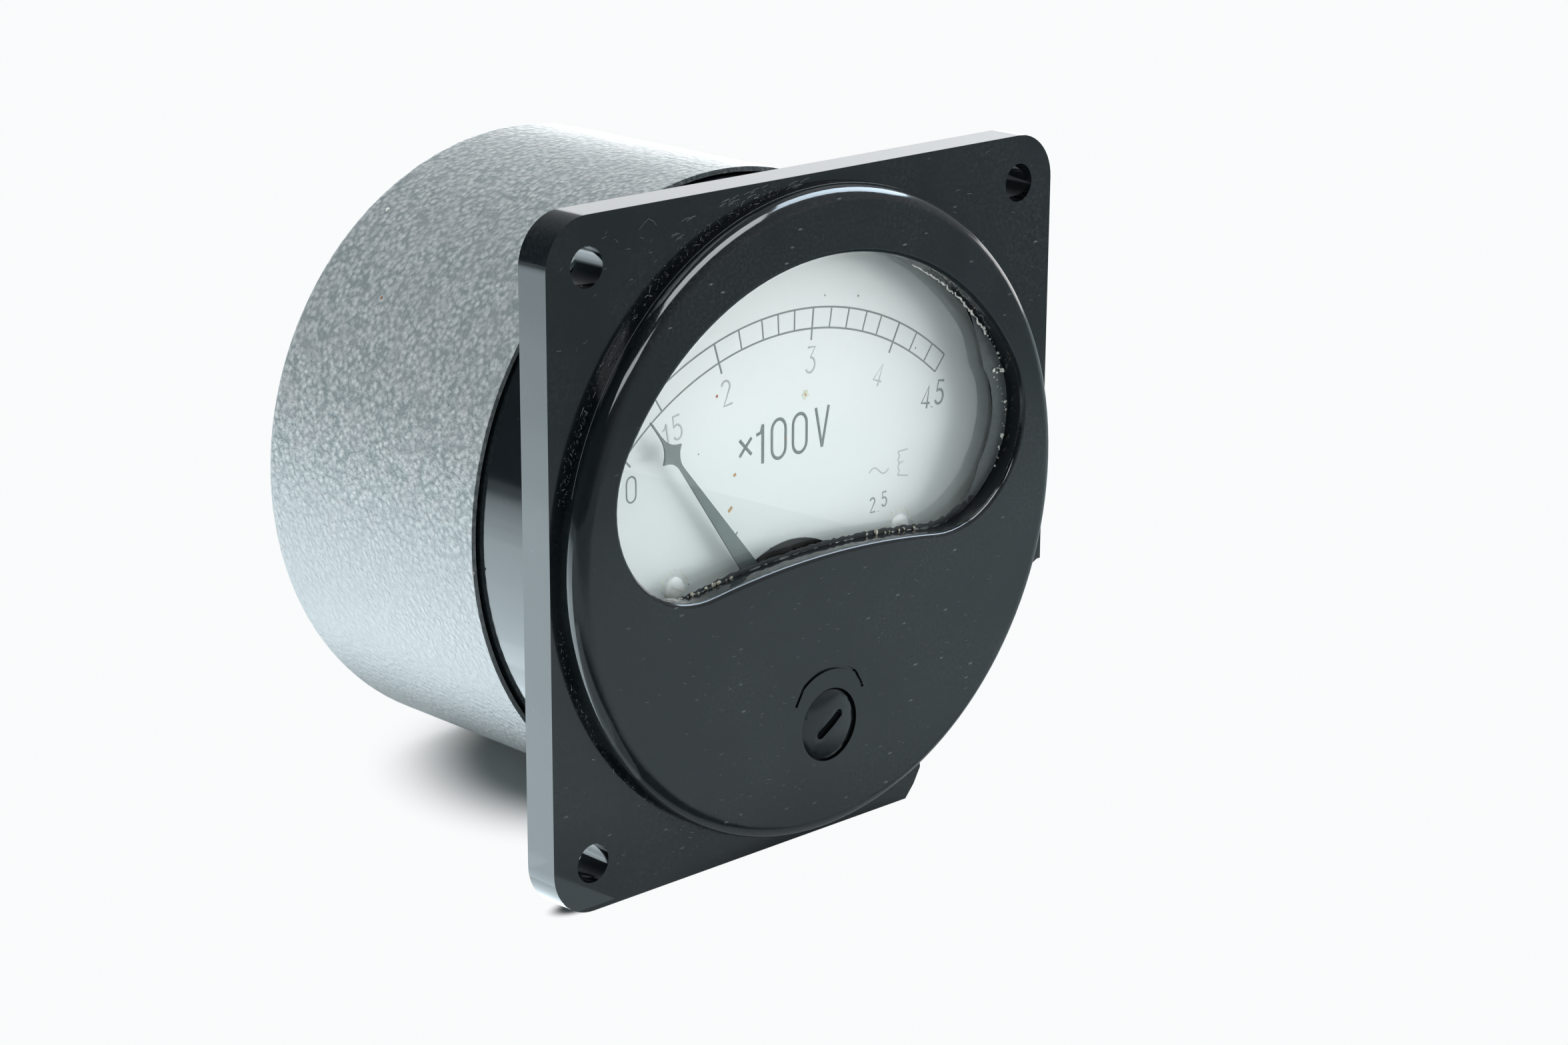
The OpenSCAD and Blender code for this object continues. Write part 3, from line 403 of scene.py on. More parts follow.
# A plain finish has its two tones, grain size and sheen, then its metal and relief
FINISHES = {
    "black_bakelite": black_bakelite(),
    "window_glass": window_glass(),
    "pane_cement": plain("pane_cement", (0.60, 0.55, 0.33), (0.78, 0.74, 0.52), 1.2, (0.35, 0.55),
                         relief=0.08),
    "dial_white": dial_white(),
    "hammer_paint": hammer_paint(),
    "steel": plain("steel", (0.50, 0.51, 0.52), (0.66, 0.67, 0.68), 2.5, (0.24, 0.36), 1.0, 0.012),
    "brass": plain("brass", (0.56, 0.42, 0.19), (0.74, 0.58, 0.30), 3, (0.24, 0.38), 1.0, 0.012),
    "spring_bronze": plain("spring_bronze", (0.60, 0.38, 0.17), (0.72, 0.50, 0.26), 1.5, (0.22, 0.32), 1.0),
    "pointer_grey": plain("pointer_grey", (0.105, 0.125, 0.124), (0.165, 0.19, 0.187), 1.3, (0.36, 0.5),
                          0.5, 0.012, 0.25),
    "vane_aluminium": plain("vane_aluminium", (0.74, 0.75, 0.76), (0.84, 0.85, 0.86), 2, (0.25, 0.38),
                            1.0, 0.01),
    "soft_iron": plain("soft_iron", (0.26, 0.27, 0.28), (0.40, 0.41, 0.42), 2, (0.36, 0.5), 0.9, 0.02),
    "magnet": plain("magnet", (0.15, 0.16, 0.18), (0.27, 0.28, 0.30), 1.4, (0.42, 0.6), 0.7, 0.06),
    "coil_copper": wound_wire("coil_copper", (0.30, 0.11, 0.045), (0.52, 0.24, 0.11), 0.28),
    "resistance_wire": wound_wire("resistance_wire", (0.22, 0.165, 0.09), (0.42, 0.33, 0.19), 0.2),
    "brown_phenolic": plain("brown_phenolic", (0.060, 0.030, 0.016), (0.12, 0.066, 0.036), 3, (0.28, 0.40),
                            relief=0.015),
    "lead_insulation": plain("lead_insulation", (0.24, 0.045, 0.035), (0.34, 0.085, 0.06), 1.5, (0.5, 0.65),
                             relief=0.02),
}
# The dial screws' matt near-white is a painted highlight, standing for the shine of their plated heads
screw_white_highlight = plain("screw_plating", (0.88, 0.87, 0.83), (0.95, 0.945, 0.92), 1.0, (0.25, 0.35), relief=0.01)
# Black bedding, also painting the shadowed gap above the sill
black_bedding_and_shade = plain("pane_bedding", (0.020, 0.025, 0.027), (0.055, 0.063, 0.066), 0.8, (0.35, 0.55),
                      relief=0.06)
# Dull grey bedding, also painting the dial's edge in the shade of the right wall
grey_bedding_and_shade = plain("pane_bedding_grey", (0.075, 0.090, 0.096), (0.125, 0.145, 0.150), 0.9, (0.6, 0.75),
                     relief=0.04)
# Pale cement made near white, its brightness partly a painted glint on the crumbs
pale_crumbs_and_glints = plain("cement_crumbs", (0.86, 0.88, 0.80), (0.96, 0.965, 0.92), 0.5, (0.2, 0.35), relief=0.05)
glue_yellow = plain("sill_glue", (0.52, 0.51, 0.38), (0.72, 0.71, 0.58), 0.9, (0.2, 0.4), relief=0.05)
lint_grey = plain("lint", (0.26, 0.285, 0.265), (0.46, 0.49, 0.46), 0.8, (0.7, 0.9))
lint_dim = plain("lint_dim", (0.075, 0.085, 0.083), (0.15, 0.165, 0.16), 0.8, (0.7, 0.9))
rust_orange = plain("rust_orange", (0.48, 0.20, 0.02), (0.70, 0.36, 0.06), 0.3, (0.6, 0.8))
rust_red = plain("rust_red", (0.33, 0.06, 0.03), (0.50, 0.15, 0.09), 0.3, (0.6, 0.8))
rust_tan = plain("rust_tan", (0.42, 0.22, 0.07), (0.60, 0.36, 0.15), 0.3, (0.6, 0.8))
rust_brown = plain("rust_brown", (0.20, 0.09, 0.035), (0.36, 0.20, 0.10), 0.3, (0.6, 0.8))
stain = plain("dial_stain", (0.74, 0.74, 0.60), (0.80, 0.81, 0.72), 0.8, (0.5, 0.6))
soot = plain("soot_speck", (0.08, 0.085, 0.08), (0.20, 0.21, 0.20), 0.3, (0.6, 0.8))
ink_strong = plain("scale_ink_strong", (0.085, 0.115, 0.115), (0.17, 0.205, 0.20), 0.8, (0.5, 0.6))
ink_even = plain("scale_ink", (0.15, 0.185, 0.18), (0.28, 0.315, 0.305), 0.9, (0.5, 0.6))
ink_faint = plain("scale_ink_worn", (0.38, 0.41, 0.395), (0.62, 0.64, 0.62), 0.7, (0.5, 0.6))

for node, slot_name in slot_of.items():
    nodes[node].data.materials.clear()
    nodes[node].data.materials.append(FINISHES[slot_name])


# moulded and drawn parts

def loose_copy(node, name):
    """A copy of the node's mesh, welded, with its flat faces whole."""
    pick(nodes[node])
    bpy.ops.object.duplicate()
    piece = take(name)
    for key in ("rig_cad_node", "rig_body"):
        if key in piece:
            del piece[key]
    piece.parent = None
    open_mesh()
    bpy.ops.mesh.remove_doubles(threshold=WELD)
    bpy.ops.mesh.dissolve_limited(angle_limit=math.radians(0.6))
    close_mesh()
    return piece


def ease(piece, width):
    """Rounds the sharp edges and lets the light run over them."""
    apply_modifier(piece, "BEVEL", width=width * MM, segments=2, limit_method="ANGLE",
                   angle_limit=math.radians(38), use_clamp_overlap=True)
    smooth(piece, 40)
    apply_modifier(piece, "WEIGHTED_NORMAL", weight=100, keep_sharp=True)


def fit_out(piece, node):
    """Puts a piece in its node's place."""
    dress(piece, FINISHES[slot_of[node]], body_of[node], [node])


def eased_copy(node, name, width):
    piece = loose_copy(node, name)
    ease(piece, width)
    fit_out(piece, node)


# The window's rim lies inside this radius and above this height
WINDOW_R, WINDOW_LOW_Z = 36.5, -12
# The rounded edge and the side wall of the raised front lie outside this one
EDGE_R = 36.6


def draw_in_front(piece):
    """Brings the side wall of the raised front in to the radius that is seen."""
    ready_to_choose(piece, "VERT")
    for vertex in piece.data.vertices:
        x, y, z = (c / MM for c in vertex.co)
        radius = math.hypot(x, z)
        on_wall = y < FLANGE_Y - ON_FLANGE and radius > EDGE_R
        at_foot = abs(y - FLANGE_Y) < ON_FLANGE and abs(radius - SOLID_DISC_R) < ON_FRONT
        vertex.select = on_wall or at_foot
    bpy.ops.object.mode_set(mode="EDIT")
    share = DISC_R / SOLID_DISC_R
    bpy.ops.transform.resize(value=(share, 1, share), center_override=(0, 0, 0))
    close_mesh()


def on_window_rim(point):
    x, y, z = (c / MM for c in point)
    return abs(y - FACE_Y) < ON_FRONT and math.hypot(x, z) < WINDOW_R and z > WINDOW_LOW_Z


def edge_is_sharp(mesh, edge):
    """True where the two faces at an edge meet at an angle."""
    normals = [face.normal for face in mesh.polygons if edge.key in face.edge_keys]
    return len(normals) == 2 and normals[0].angle(normals[1]) > 0.6


def round_lip(piece, width):
    """Rounds the front edge of the window more than the other edges."""
    ready_to_choose(piece, "EDGE")
    mesh = piece.data
    for edge in mesh.edges:
        ends = [mesh.vertices[i].co for i in edge.vertices]
        edge.select = all(on_window_rim(end) for end in ends) and edge_is_sharp(mesh, edge)
    bpy.ops.object.mode_set(mode="EDIT")
    bpy.ops.mesh.bevel(offset=width * MM, segments=4, affect="EDGES")
    close_mesh()


housing = loose_copy("housing", "housing_moulding")
draw_in_front(housing)
round_lip(housing, 0.55)
ease(housing, 0.22)
fit_out(housing, "housing")
eased_copy("can", "can_shell", 0.12)
eased_copy("zero_screw", "adjuster_head", 0.10)
REAR_FITTINGS = [("nut_", "terminal_nut_", 0.18), ("clamp_nut_", "terminal_clamp_nut_", 0.18),
                 ("bush_", "terminal_bush_", 0.25), ("can_screw_", "can_fixing_screw_", 0.2)]
for side in ("left", "right"):
    for node, name, rounding in REAR_FITTINGS:
        eased_copy(node + side, name + side, rounding)


# screws that hold the dial

SLOT_DEPTH, SLOT_WIDTH = 0.25, 0.36
# In radians
SLOT_TURN = 0.5


def domed_screw(side):
    """Low dome with a slot, over the dial screw's own head."""
    low, high = (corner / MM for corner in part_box("dial_screw_" + side))
    x, z = (low.x + high.x) / 2, (low.z + high.z) / 2
    head_r = (high.x - low.x) / 2
    clear_bench()
    bpy.ops.mesh.primitive_uv_sphere_add(segments=32, ring_count=16, radius=head_r * MM,
                                         location=(x * MM, DIAL_Y * MM, z * MM))
    head = take("dial_fixing_screw_" + side)
    head.scale = (1, (DIAL_Y - low.y) / head_r, 1)
    settle(head)
    open_mesh()
    bpy.ops.mesh.bisect(plane_co=(0, DIAL_Y * MM, 0), plane_no=(0, 1, 0), clear_outer=True, use_fill=True)
    close_mesh()
    clear_bench()
    bpy.ops.mesh.primitive_cube_add(size=MM, location=(x * MM, low.y * MM, z * MM),
                                    rotation=(0, SLOT_TURN, 0))
    slot = bpy.context.object
    slot.scale = (head_r * 2.4, SLOT_DEPTH * 2, SLOT_WIDTH)
    settle(slot)
    apply_modifier(head, "BOOLEAN", object=slot, operation="DIFFERENCE", solver="EXACT")
    bpy.data.objects.remove(slot, do_unlink=True)
    smooth(head, 40)
    dress(head, screw_white_highlight, "base", ["dial_screw_" + side])


domed_screw("left")
domed_screw("right")


# printing on the dial

INK_T = 0.012
SCALE_START, SCALE_END = -43.9, 40.55
SCALE_OUT_R, SCALE_IN_R, LONG_MARK_R = 39.7, 37.24, 35.85
LONG_MARKS = [SCALE_START, -17.75, 5.2, 26.9]
SHORT_MARKS = [-32.6, -12.1, -6.8, -3.06, 0.8, 9.55, 13.8, 18.25, 22.05, 31.85, 36.6, SCALE_END]


def arc(cx, cz, rx, rz, start, end, count):
    """Points on an arc, angles from the right, in degrees."""
    turns = [math.radians(start + (end - start) * i / count) for i in range(count + 1)]
    return [(cx + rx * math.cos(a), cz + rz * math.sin(a)) for a in turns]


def on_scale(angle, radius):
    """A point of the dial, its angle from straight above the spindle."""
    a = math.radians(angle)
    return (radius * math.sin(a), SPINDLE_Z + radius * math.cos(a))


# strokes of each figure, one unit high
GLYPHS = {
    "0": [arc(0, 0.73, 0.235, 0.27, 0, 180, 12) + arc(0, 0.27, 0.235, 0.27, 180, 360, 12) + [(0.235, 0.73)]],
    "1": [[(-0.17, 0.76), (-0.02, 0.80), (0.05, 0.98)], [(0.05, 1.0), (0.05, 0.0)]],
    "2": [arc(0, 0.77, 0.22, 0.23, 165, -22, 14) + [(-0.20, 0.0), (0.26, 0.0)]],
    "3": [[(-0.19, 1.0), (0.21, 1.0), (-0.02, 0.60)] + arc(-0.02, 0.30, 0.25, 0.30, 90, -150, 16)],
    "4": [[(0.11, 0.0), (0.11, 1.0), (-0.25, 0.24), (0.27, 0.24)]],
    "5": [[(0.20, 1.0), (-0.15, 1.0), (-0.18, 0.55)] + arc(-0.01, 0.31, 0.24, 0.31, 118, -150, 18)],
    ".": [[(0.0, 0.0), (0.01, 0.045)]],
    "V": [[(-0.27, 1.0), (0.0, 0.0)], [(0.27, 1.0), (0.0, 0.0)]],
    "x": [[(-0.5, 0.0), (0.5, 1.0)], [(-0.5, 1.0), (0.5, 0.0)]],
}


def written(glyph, x, z, height, turn=0.0, wide=1.0):
    """A figure's strokes, centred on a point of the dial and turned."""
    c, s = math.cos(math.radians(turn)), math.sin(math.radians(turn))
    strokes = []
    for stroke in GLYPHS[glyph]:
        moved = [((u * wide) * height, (v - 0.5) * height) for u, v in stroke]
        strokes.append([(x + u * c - v * s, z + u * s + v * c) for u, v in moved])
    return strokes


def printed(name, strokes, width, ink, lift=0.0):
    """Pen strokes laid on the dial as thin flat ribbons."""
    line = drawn(name, [[(x, 0, z) for x, z in stroke] for stroke in strokes], width / 2, 1)
    open_mesh()
    bpy.ops.transform.resize(value=(1, INK_T / (width / 2), 1), center_override=(0, 0, 0))
    bpy.ops.transform.translate(value=(0, (DIAL_Y - INK_T / 2 - lift) * MM, 0))
    close_mesh()
    dress(line, ink, "base")


def printed_figures(name, figures, width, ink):
    printed(name, [stroke for figure in figures for stroke in written(*figure)], width, ink)


def scale_marks(name, angles, inner_r, width):
    printed(name, [[on_scale(a, SCALE_OUT_R), on_scale(a, inner_r)] for a in angles], width, ink_even)


sweep = [SCALE_START + (SCALE_END - SCALE_START) * i / 90 for i in range(91)]
scale_arcs = [[on_scale(a, r) for a in sweep] for r in (SCALE_OUT_R, SCALE_IN_R)]
printed("dial_scale_arcs", scale_arcs, 0.25, ink_even)
scale_marks("dial_scale_long_marks", LONG_MARKS, LONG_MARK_R, 0.31)
scale_marks("dial_scale_short_marks", SHORT_MARKS, SCALE_IN_R, 0.26)

# Figure, place on the dial, height, turn in degrees and width
RANGE_FIGURES = [("x", -7.2, 8.4, 2.0, 0, 0.95), ("1", -4.7, 8.3, 4.7), ("0", -1.9, 8.45, 4.7),
                 ("0", 1.5, 8.5, 4.7), ("V", 5.15, 8.6, 4.9, 0, 0.8)]
ZERO_FIGURE = [("0", -24.76, 6.83, 3.0)]
LAST_FIGURES = [("4", 22.75, 9.0, 2.75, -9), ("5", 25.1, 9.25, 2.85, -9), (".", 23.95, 8.9, 2.7, -9)]
WORN_FIGURES = [("1", -19.4, 12.05, 2.8, 10), ("5", -17.8, 12.75, 2.8, 10), ("2", -10.2, 15.4, 2.9, 8),
                ("3", 3.2, 17.0, 3.0, -3), ("4", 14.5, 13.25, 2.7, -20)]
CLASS_FIGURES = [("2", 13.75, -2.75, 1.75), ("5", 15.75, -2.35, 1.75), (".", 14.75, -2.9, 1.75)]
printed_figures("dial_range_figures", RANGE_FIGURES, 0.46, ink_strong)
printed_figures("dial_zero_figure", ZERO_FIGURE, 0.26, ink_even)
printed_figures("dial_last_figures", LAST_FIGURES, 0.38, ink_even)
printed_figures("dial_worn_figures", WORN_FIGURES, 0.30, ink_faint)
printed_figures("dial_class_figures", CLASS_FIGURES, 0.26, ink_even)

wave_sign = [(13.1 + 3.4 * i / 16, 1.35 + 0.48 * math.sin(2 * math.pi * i / 16)) for i in range(17)]
coil_back = [(18.05 + 0.25 * math.sin(3 * math.pi * i / 18) ** 2, 3.05 - 2.85 * i / 18) for i in range(19)]
coil_sign = [(19.7, 3.15), (18.1, 3.1)] + coil_back + [(18.1, 0.15), (19.8, -0.2)]
iron_sign = [(18.1, 1.6), (18.95, 1.75)]
printed("dial_small_marks", [wave_sign, coil_sign, iron_sign], 0.22, ink_faint)


# specks and stains on the dial

def specks(name, marks, width, finish, lift=0.004):
    """Short strokes, each from its place over a small step in x and z."""
    printed(name, [[(x, z), (x + dx, z + dz)] for x, z, dx, dz in marks], width, finish, lift)


RUST_LIFT = 0.012
specks("dial_stain_patch", [(1.9, 12.7, 0.9, 0.5), (2.0, 13.2, 0.7, -0.2)], 0.9, stain)
specks("dial_speck_orange", [(2.28, 12.92, 0.18, 0.1)], 0.46, rust_orange, RUST_LIFT)
specks("dial_specks_red", [(-0.83, 8.27, 0.12, 0.1), (-11.85, 15.2, 0.3, 0.15)], 0.38, rust_red, RUST_LIFT)
specks("dial_specks_brown", [(-9.1, 5.35, 0.4, 0.2), (-9.9, 1.2, 0.6, 0.5)], 0.42, rust_tan)
specks("dial_specks_dark", [(-8.7, -1.75, 0.25, 0.3), (5.35, 24.3, 0.15, 0.05), (10.8, 23.4, 0.25, 0.0),
                            (-14.6, 8.95, 0.1, 0.1), (20.7, 15.4, 0.15, 0.1)], 0.22, soot)

# A stain lies round the upper side of each dial screw, its spots at these angles in radians
STAIN_X, STAIN_Z, STAIN_R = 18.4, -6.3, 2.05
STAIN_TURNS = (0.2, 0.6, 1.0, 1.4, 1.8, 2.2, 2.6, 3.0)
for number, x in ((1, -STAIN_X), (2, STAIN_X)):
    ring = [(x + STAIN_R * math.cos(a), STAIN_Z + STAIN_R * math.sin(a), 0.12, 0.08) for a in STAIN_TURNS]
    specks("dial_screw_dirt_" + str(number), ring, 1.1, stain)


# cement, glue, bedding and painted shade round the pane

# The window's sill is an arc of this radius, with this height in the middle
SILL_R, SILL_Z = 120, -4.25
# The window's lower right corner and its top, as arcs: centre x, centre z, radius
CORNER_ARC = (19.95, 6.94, 12.7)
TOP_ARC = (0, -5.1, 36)
# A depth just in front of the pane, from which each kind of cement stands out
BEAD_Y = -4.85
BEDDING_Y = BEAD_Y - 0.15
GLUE_Y = BEAD_Y - 0.25
CRUMB_Y = BEAD_Y - 0.4
THREAD_Y = BEAD_Y - 0.55
chance = random.Random(7)


def sill(x):
    """Height of the window's sill."""
    return SILL_Z - SILL_R + math.sqrt(SILL_R * SILL_R - x * x)


def strands(name, routes, radius, finish, sides=0, widths=(), flat=None):
    """Strands through lists of points, as one piece; flat squeezes them along Y at the first point."""
    strand = drawn(name, routes, radius, sides, widths)
    if flat:
        open_mesh()
        bpy.ops.transform.resize(value=(1, flat, 1), center_override=(0, routes[0][0][1] * MM, 0))
        close_mesh()
    smooth(strand, 60)
    dress(strand, finish, "base")


def crumb(place, size, seed):
    """An uneven lump, flattened along Y."""
    clear_bench()
    bpy.ops.mesh.primitive_ico_sphere_add(subdivisions=2, radius=size * MM, location=[c * MM for c in place])
    lump = bpy.context.object
    lump.scale = (0.7 + 0.6 * chance.random(), 0.55, 0.7 + 0.6 * chance.random())
    lump.rotation_euler = (0, chance.random() * 3, 0)
    settle(lump)
    open_mesh()
    bpy.ops.transform.vertex_random(offset=size * 0.35 * MM, uniform=0.4, seed=seed)
    close_mesh()
    return lump


def crumbs(name, places, finish):
    """Lumps at their places and sizes, as one piece."""
    piece = join(name, [crumb(place, size, i) for i, (place, size) in enumerate(places)])
    smooth(piece, 70)
    dress(piece, finish, "base")


def along(curve, first, last, pace):
    """Places along an arc with the way inwards at each, a pace apart."""
    x, z, radius = curve
    count = int(math.radians(last - first) * radius / pace)
    turns = [math.radians(first + (last - first) * i / count) for i in range(count + 1)]
    return [(x + radius * math.cos(a), z + radius * math.sin(a), -math.cos(a), -math.sin(a)) for a in turns]


def bedding(name, edge, half_widths, ragged, finish):
    """A flat strip on the pane, from the edge inwards, with its uneven width; it stands for bedding and also
    paints the shade there.
    """
    route, widths = [], []
    for (x, z, in_x, in_z), half in zip(edge, half_widths):
        route.append((x + in_x * half, BEDDING_Y, z + in_z * half))
        widths.append(half * chance.uniform(1 - ragged, 1 + ragged))
    strands(name, [route], 1.0, finish, 3, widths, 0.12)


sill_edge = [(i * 0.5, sill(i * 0.5), 0, 1) for i in range(-44, 37)]
sill_edge += along(CORNER_ARC, -97, -52, 0.5)
sill_halves = [0.28] * 70 + [0.28 + 0.008 * i for i in range(31)]
# Along the sill the black strip is bedding that also paints the shadowed gap above the sill
bedding("pane_bedding_sill", sill_edge, sill_halves, 0.5, black_bedding_and_shade)
wall_edge = along(CORNER_ARC, -62, 31, 0.6)
top_edge = along(TOP_ARC, 32, 52, 0.6)
wall_halves = [0.5 + 0.9 * min(1, i / 9) for i in range(len(wall_edge))]
top_halves = [max(0.2, 1.4 - 0.1 * i) for i in range(len(top_edge))]
# The grey strip is bedding whose dull grey paints the shade of the dial's edge behind the right wall
bedding("pane_bedding_wall", wall_edge + top_edge, wall_halves + top_halves, 0.06, grey_bedding_and_shade)

thread, thread_widths = [], []
for x, z, in_x, in_z in along(TOP_ARC, 38, 65, 0.3):
    inward = 0.35 + chance.gauss(0, 0.09)
    thread.append((x + in_x * inward, THREAD_Y, z + in_z * inward))
    thread_widths.append(chance.uniform(0.3, 1.5))
strands("cement_thread", [thread], 0.11, pale_crumbs_and_glints, 1, thread_widths)

BEADS = [(27.9, 17.6), (30.5, 14.1), (31.4, 11.7), (29.8, 12.0), (32.0, 7.7), (31.6, 3.5), (30.6, -0.2)]
bead_places = []
for (x0, z0), (x1, z1) in zip(BEADS, BEADS[1:]):
    bead_places.append(((x0, CRUMB_Y, z0), chance.uniform(0.16, 0.30)))
    for step in (0.15, 0.3, 0.45, 0.6, 0.75, 0.9):
        wander = chance.uniform(-0.35, 0.25)
        place = (x0 + (x1 - x0) * step + wander, CRUMB_Y, z0 + (z1 - z0) * step + wander)
        bead_places.append((place, chance.uniform(0.05, 0.15)))
crumbs("pane_cement_beads", bead_places, pale_crumbs_and_glints)

GLUE_LEFT, GLUE_RIGHT = (-26.5, -13), (8, 17)
glue_places = []
for stretch in [GLUE_LEFT] * 34 + [GLUE_RIGHT] * 10:
    x = chance.uniform(*stretch)
    glue_places.append(((x, GLUE_Y, sill(x) + chance.uniform(0.0, 0.35)), chance.uniform(0.08, 0.26)))
crumbs("sill_glue_lumps", glue_places, glue_yellow)


# lint and scuffs on the moulding

# How far from the middle, across or up, lint, grit and scuffs may lie
LINT_REACH, GRIT_REACH, SCUFF_REACH = 39, 39.3, 39.6
LINT_Y = FLANGE_Y - 0.01
GRIT_Y = FLANGE_Y - 0.015
HAIR_Y = FLANGE_Y - 0.02


def hair(x, y, z, length, turn, curl):
    """A short fibre lying on a front face."""
    route = []
    for i in range(5):
        way = length * (i / 4 - 0.5)
        bow = curl * length * math.sin(math.pi * i / 4)
        route.append((x + way * math.cos(turn) - bow * math.sin(turn), y,
                      z + way * math.sin(turn) + bow * math.cos(turn)))
    return route


def foot_hairs(count, start, end, length):
    """Grit and fibres caught along the foot of the raised front, between two angles."""
    routes = []
    for i in range(count):
        a = math.radians(chance.uniform(start, end))
        r = DISC_R + abs(chance.gauss(0.0, 0.65))
        x, z = r * math.cos(a), r * math.sin(a)
        if max(abs(x), abs(z)) < GRIT_REACH:
            turn = a + math.pi / 2 + chance.gauss(0, 0.6)
            routes.append(hair(x, GRIT_Y, z, chance.uniform(*length), turn, chance.gauss(0, 0.1)))
    return routes


def spread_hairs(count, y, inside, lean, scatter):
    """Fibres scattered over a front face, most of them lying one way."""
    routes = []
    while len(routes) < count:
        x, z = chance.uniform(-LINT_REACH, LINT_REACH), chance.uniform(-LINT_REACH, LINT_REACH)
        if inside(x, z):
            turn = lean + chance.gauss(0, scatter)
            routes.append(hair(x, y, z, chance.uniform(0.15, 0.8), turn, chance.gauss(0, 0.12)))
    return routes


def on_flange(x, z):
    return math.hypot(x, z) > DISC_R + 0.6 and not (x > 8 and z < 0)


def on_low_face(x, z):
    return math.hypot(x, z) < 35.5 and z < sill(x) - 2 and math.hypot(x, z - ADJUSTER_Z) > 6.5


def lint(name, routes, radius, finish, sides=0):
    strands(name, routes, radius, finish, sides)


foot_grit = foot_hairs(260, 98, 168, (0.06, 0.35)) + foot_hairs(220, 188, 248, (0.06, 0.3))
lint("grit_at_foot", foot_grit, 0.028, lint_dim)
foot_lint = foot_hairs(26, 100, 165, (0.3, 0.9)) + foot_hairs(16, 192, 245, (0.2, 0.7))
lint("lint_at_foot", foot_lint, 0.024, lint_grey)
lint("lint_on_flange", spread_hairs(60, LINT_Y, on_flange, 0.15, 0.5), 0.024, lint_dim)
lint("lint_on_front", spread_hairs(150, FACE_Y - 0.01, on_low_face, 0.1, 0.45), 0.024, lint_dim)

# The parting line's pale finish is a painted highlight along the ridge
PARTING_Y = -5.45
parting_turns = [math.radians(a) for a in range(66, 168, 2)]
parting_route = [(DISC_R * math.cos(a), PARTING_Y, DISC_R * math.sin(a)) for a in parting_turns]
lint("parting_line", [parting_route], 0.035, lint_dim, 1)

SCUFFS = [(-3.5, 39.1), (-2.2, 38.9), (-8.7, 39.2), (-9.9, 38.9), (-12.7, 38.6), (-14.2, 38.4), (-18.9, 37.4),
          (-20.9, 35.6)]
scuff_routes = []
for x, z in SCUFFS:
    for i in range(4):
        scuff_routes.append(hair(x + chance.gauss(0, 0.5), LINT_Y, z + chance.gauss(0, 0.25),
                                 chance.uniform(0.6, 1.6), 0.25, 0.05))
scuffs_inside = [route for route in scuff_routes if max(z for x, y, z in route) < SCUFF_REACH]
lint("flange_scuffs", scuffs_inside, 0.03, lint_dim)
HAIR = [(-26.7, 37.3), (-26.0, 37.9), (-25.3, 38.3), (-24.6, 37.9), (-24.2, 37.4)]
lint("flange_hair", [[(x, HAIR_Y, z) for x, z in HAIR]], 0.03, lint_dim)


# flecks on the can

RUST_FLECKS = [((-30.2, 36.6, 23.2), 0.28), ((-29.6, 37.6, 24.0), 0.14)]
crumbs("can_fleck_white", [((-21.95, 45.7, 31.15), 0.36)], pale_crumbs_and_glints)
crumbs("can_fleck_rust", RUST_FLECKS, rust_brown)
crumbs("can_rim_chip", [((-38.0, 11.15, -2.8), 0.22)], pale_crumbs_and_glints)


# threads on the terminal studs

THREAD_R, ROOT_R, PITCH = 2.48, 2.08, 0.8
# The plain stud ends here, and the core of the thread begins a little inside it
PLAIN_END = STUD_END - 3.6
CORE_LENGTH = 4
RIDGE_TURNS = 4
# One ridge of the thread, as radius and way along the stud
RIDGE = [(ROOT_R - 0.05, 0.02), (THREAD_R, 0.36), (THREAD_R, 0.44), (ROOT_R - 0.05, 0.78)]


def thread_core(x):
    """The root of the thread, with its end eased."""
    clear_bench()
    bpy.ops.mesh.primitive_cylinder_add(vertices=40, radius=ROOT_R * MM, depth=CORE_LENGTH * MM,
                                        location=(x * MM, (STUD_END - CORE_LENGTH / 2) * MM, 0),
                                        rotation=(math.pi / 2, 0, 0))
    core = settle(bpy.context.object)
    apply_modifier(core, "BEVEL", width=0.3 * MM, segments=2, limit_method="ANGLE",
                   angle_limit=math.radians(50))
    return core


def thread_ridge(x):
    """The ridge, wound round the stud."""
    start = STUD_END - (RIDGE_TURNS + 1) * PITCH
    clear_bench()
    bpy.ops.curve.primitive_bezier_curve_add()
    ridge = bpy.context.object
    ridge.data.splines.clear()
    profile = ridge.data.splines.new("POLY")
    profile.points.add(len(RIDGE) - 1)
    for point, (r, y) in zip(profile.points, RIDGE):
        point.co = (r * MM, (start + y) * MM, 0, 1)
    pick(ridge)
    bpy.ops.object.convert(target="MESH")
    ridge = bpy.context.object
    apply_modifier(ridge, "SCREW", axis="Y", angle=2 * math.pi, screw_offset=PITCH * MM,
                   iterations=RIDGE_TURNS, steps=32, render_steps=32)
    ridge.location = (x * MM, 0, 0)
    settle(ridge)
    open_mesh()
    bpy.ops.mesh.remove_doubles(threshold=WELD)
    bpy.ops.mesh.normals_make_consistent(inside=False)
    close_mesh()
    return ridge


def threaded_stud(side, x):
    stud = loose_copy("stud_" + side, "terminal_stud_" + side)
    open_mesh()
    bpy.ops.mesh.bisect(plane_co=(0, PLAIN_END * MM, 0), plane_no=(0, 1, 0), clear_outer=True, use_fill=True)
    close_mesh()
    whole = join("terminal_stud_" + side, [stud, thread_core(x), thread_ridge(x)])
    smooth(whole, 30)
    fit_out(whole, "stud_" + side)


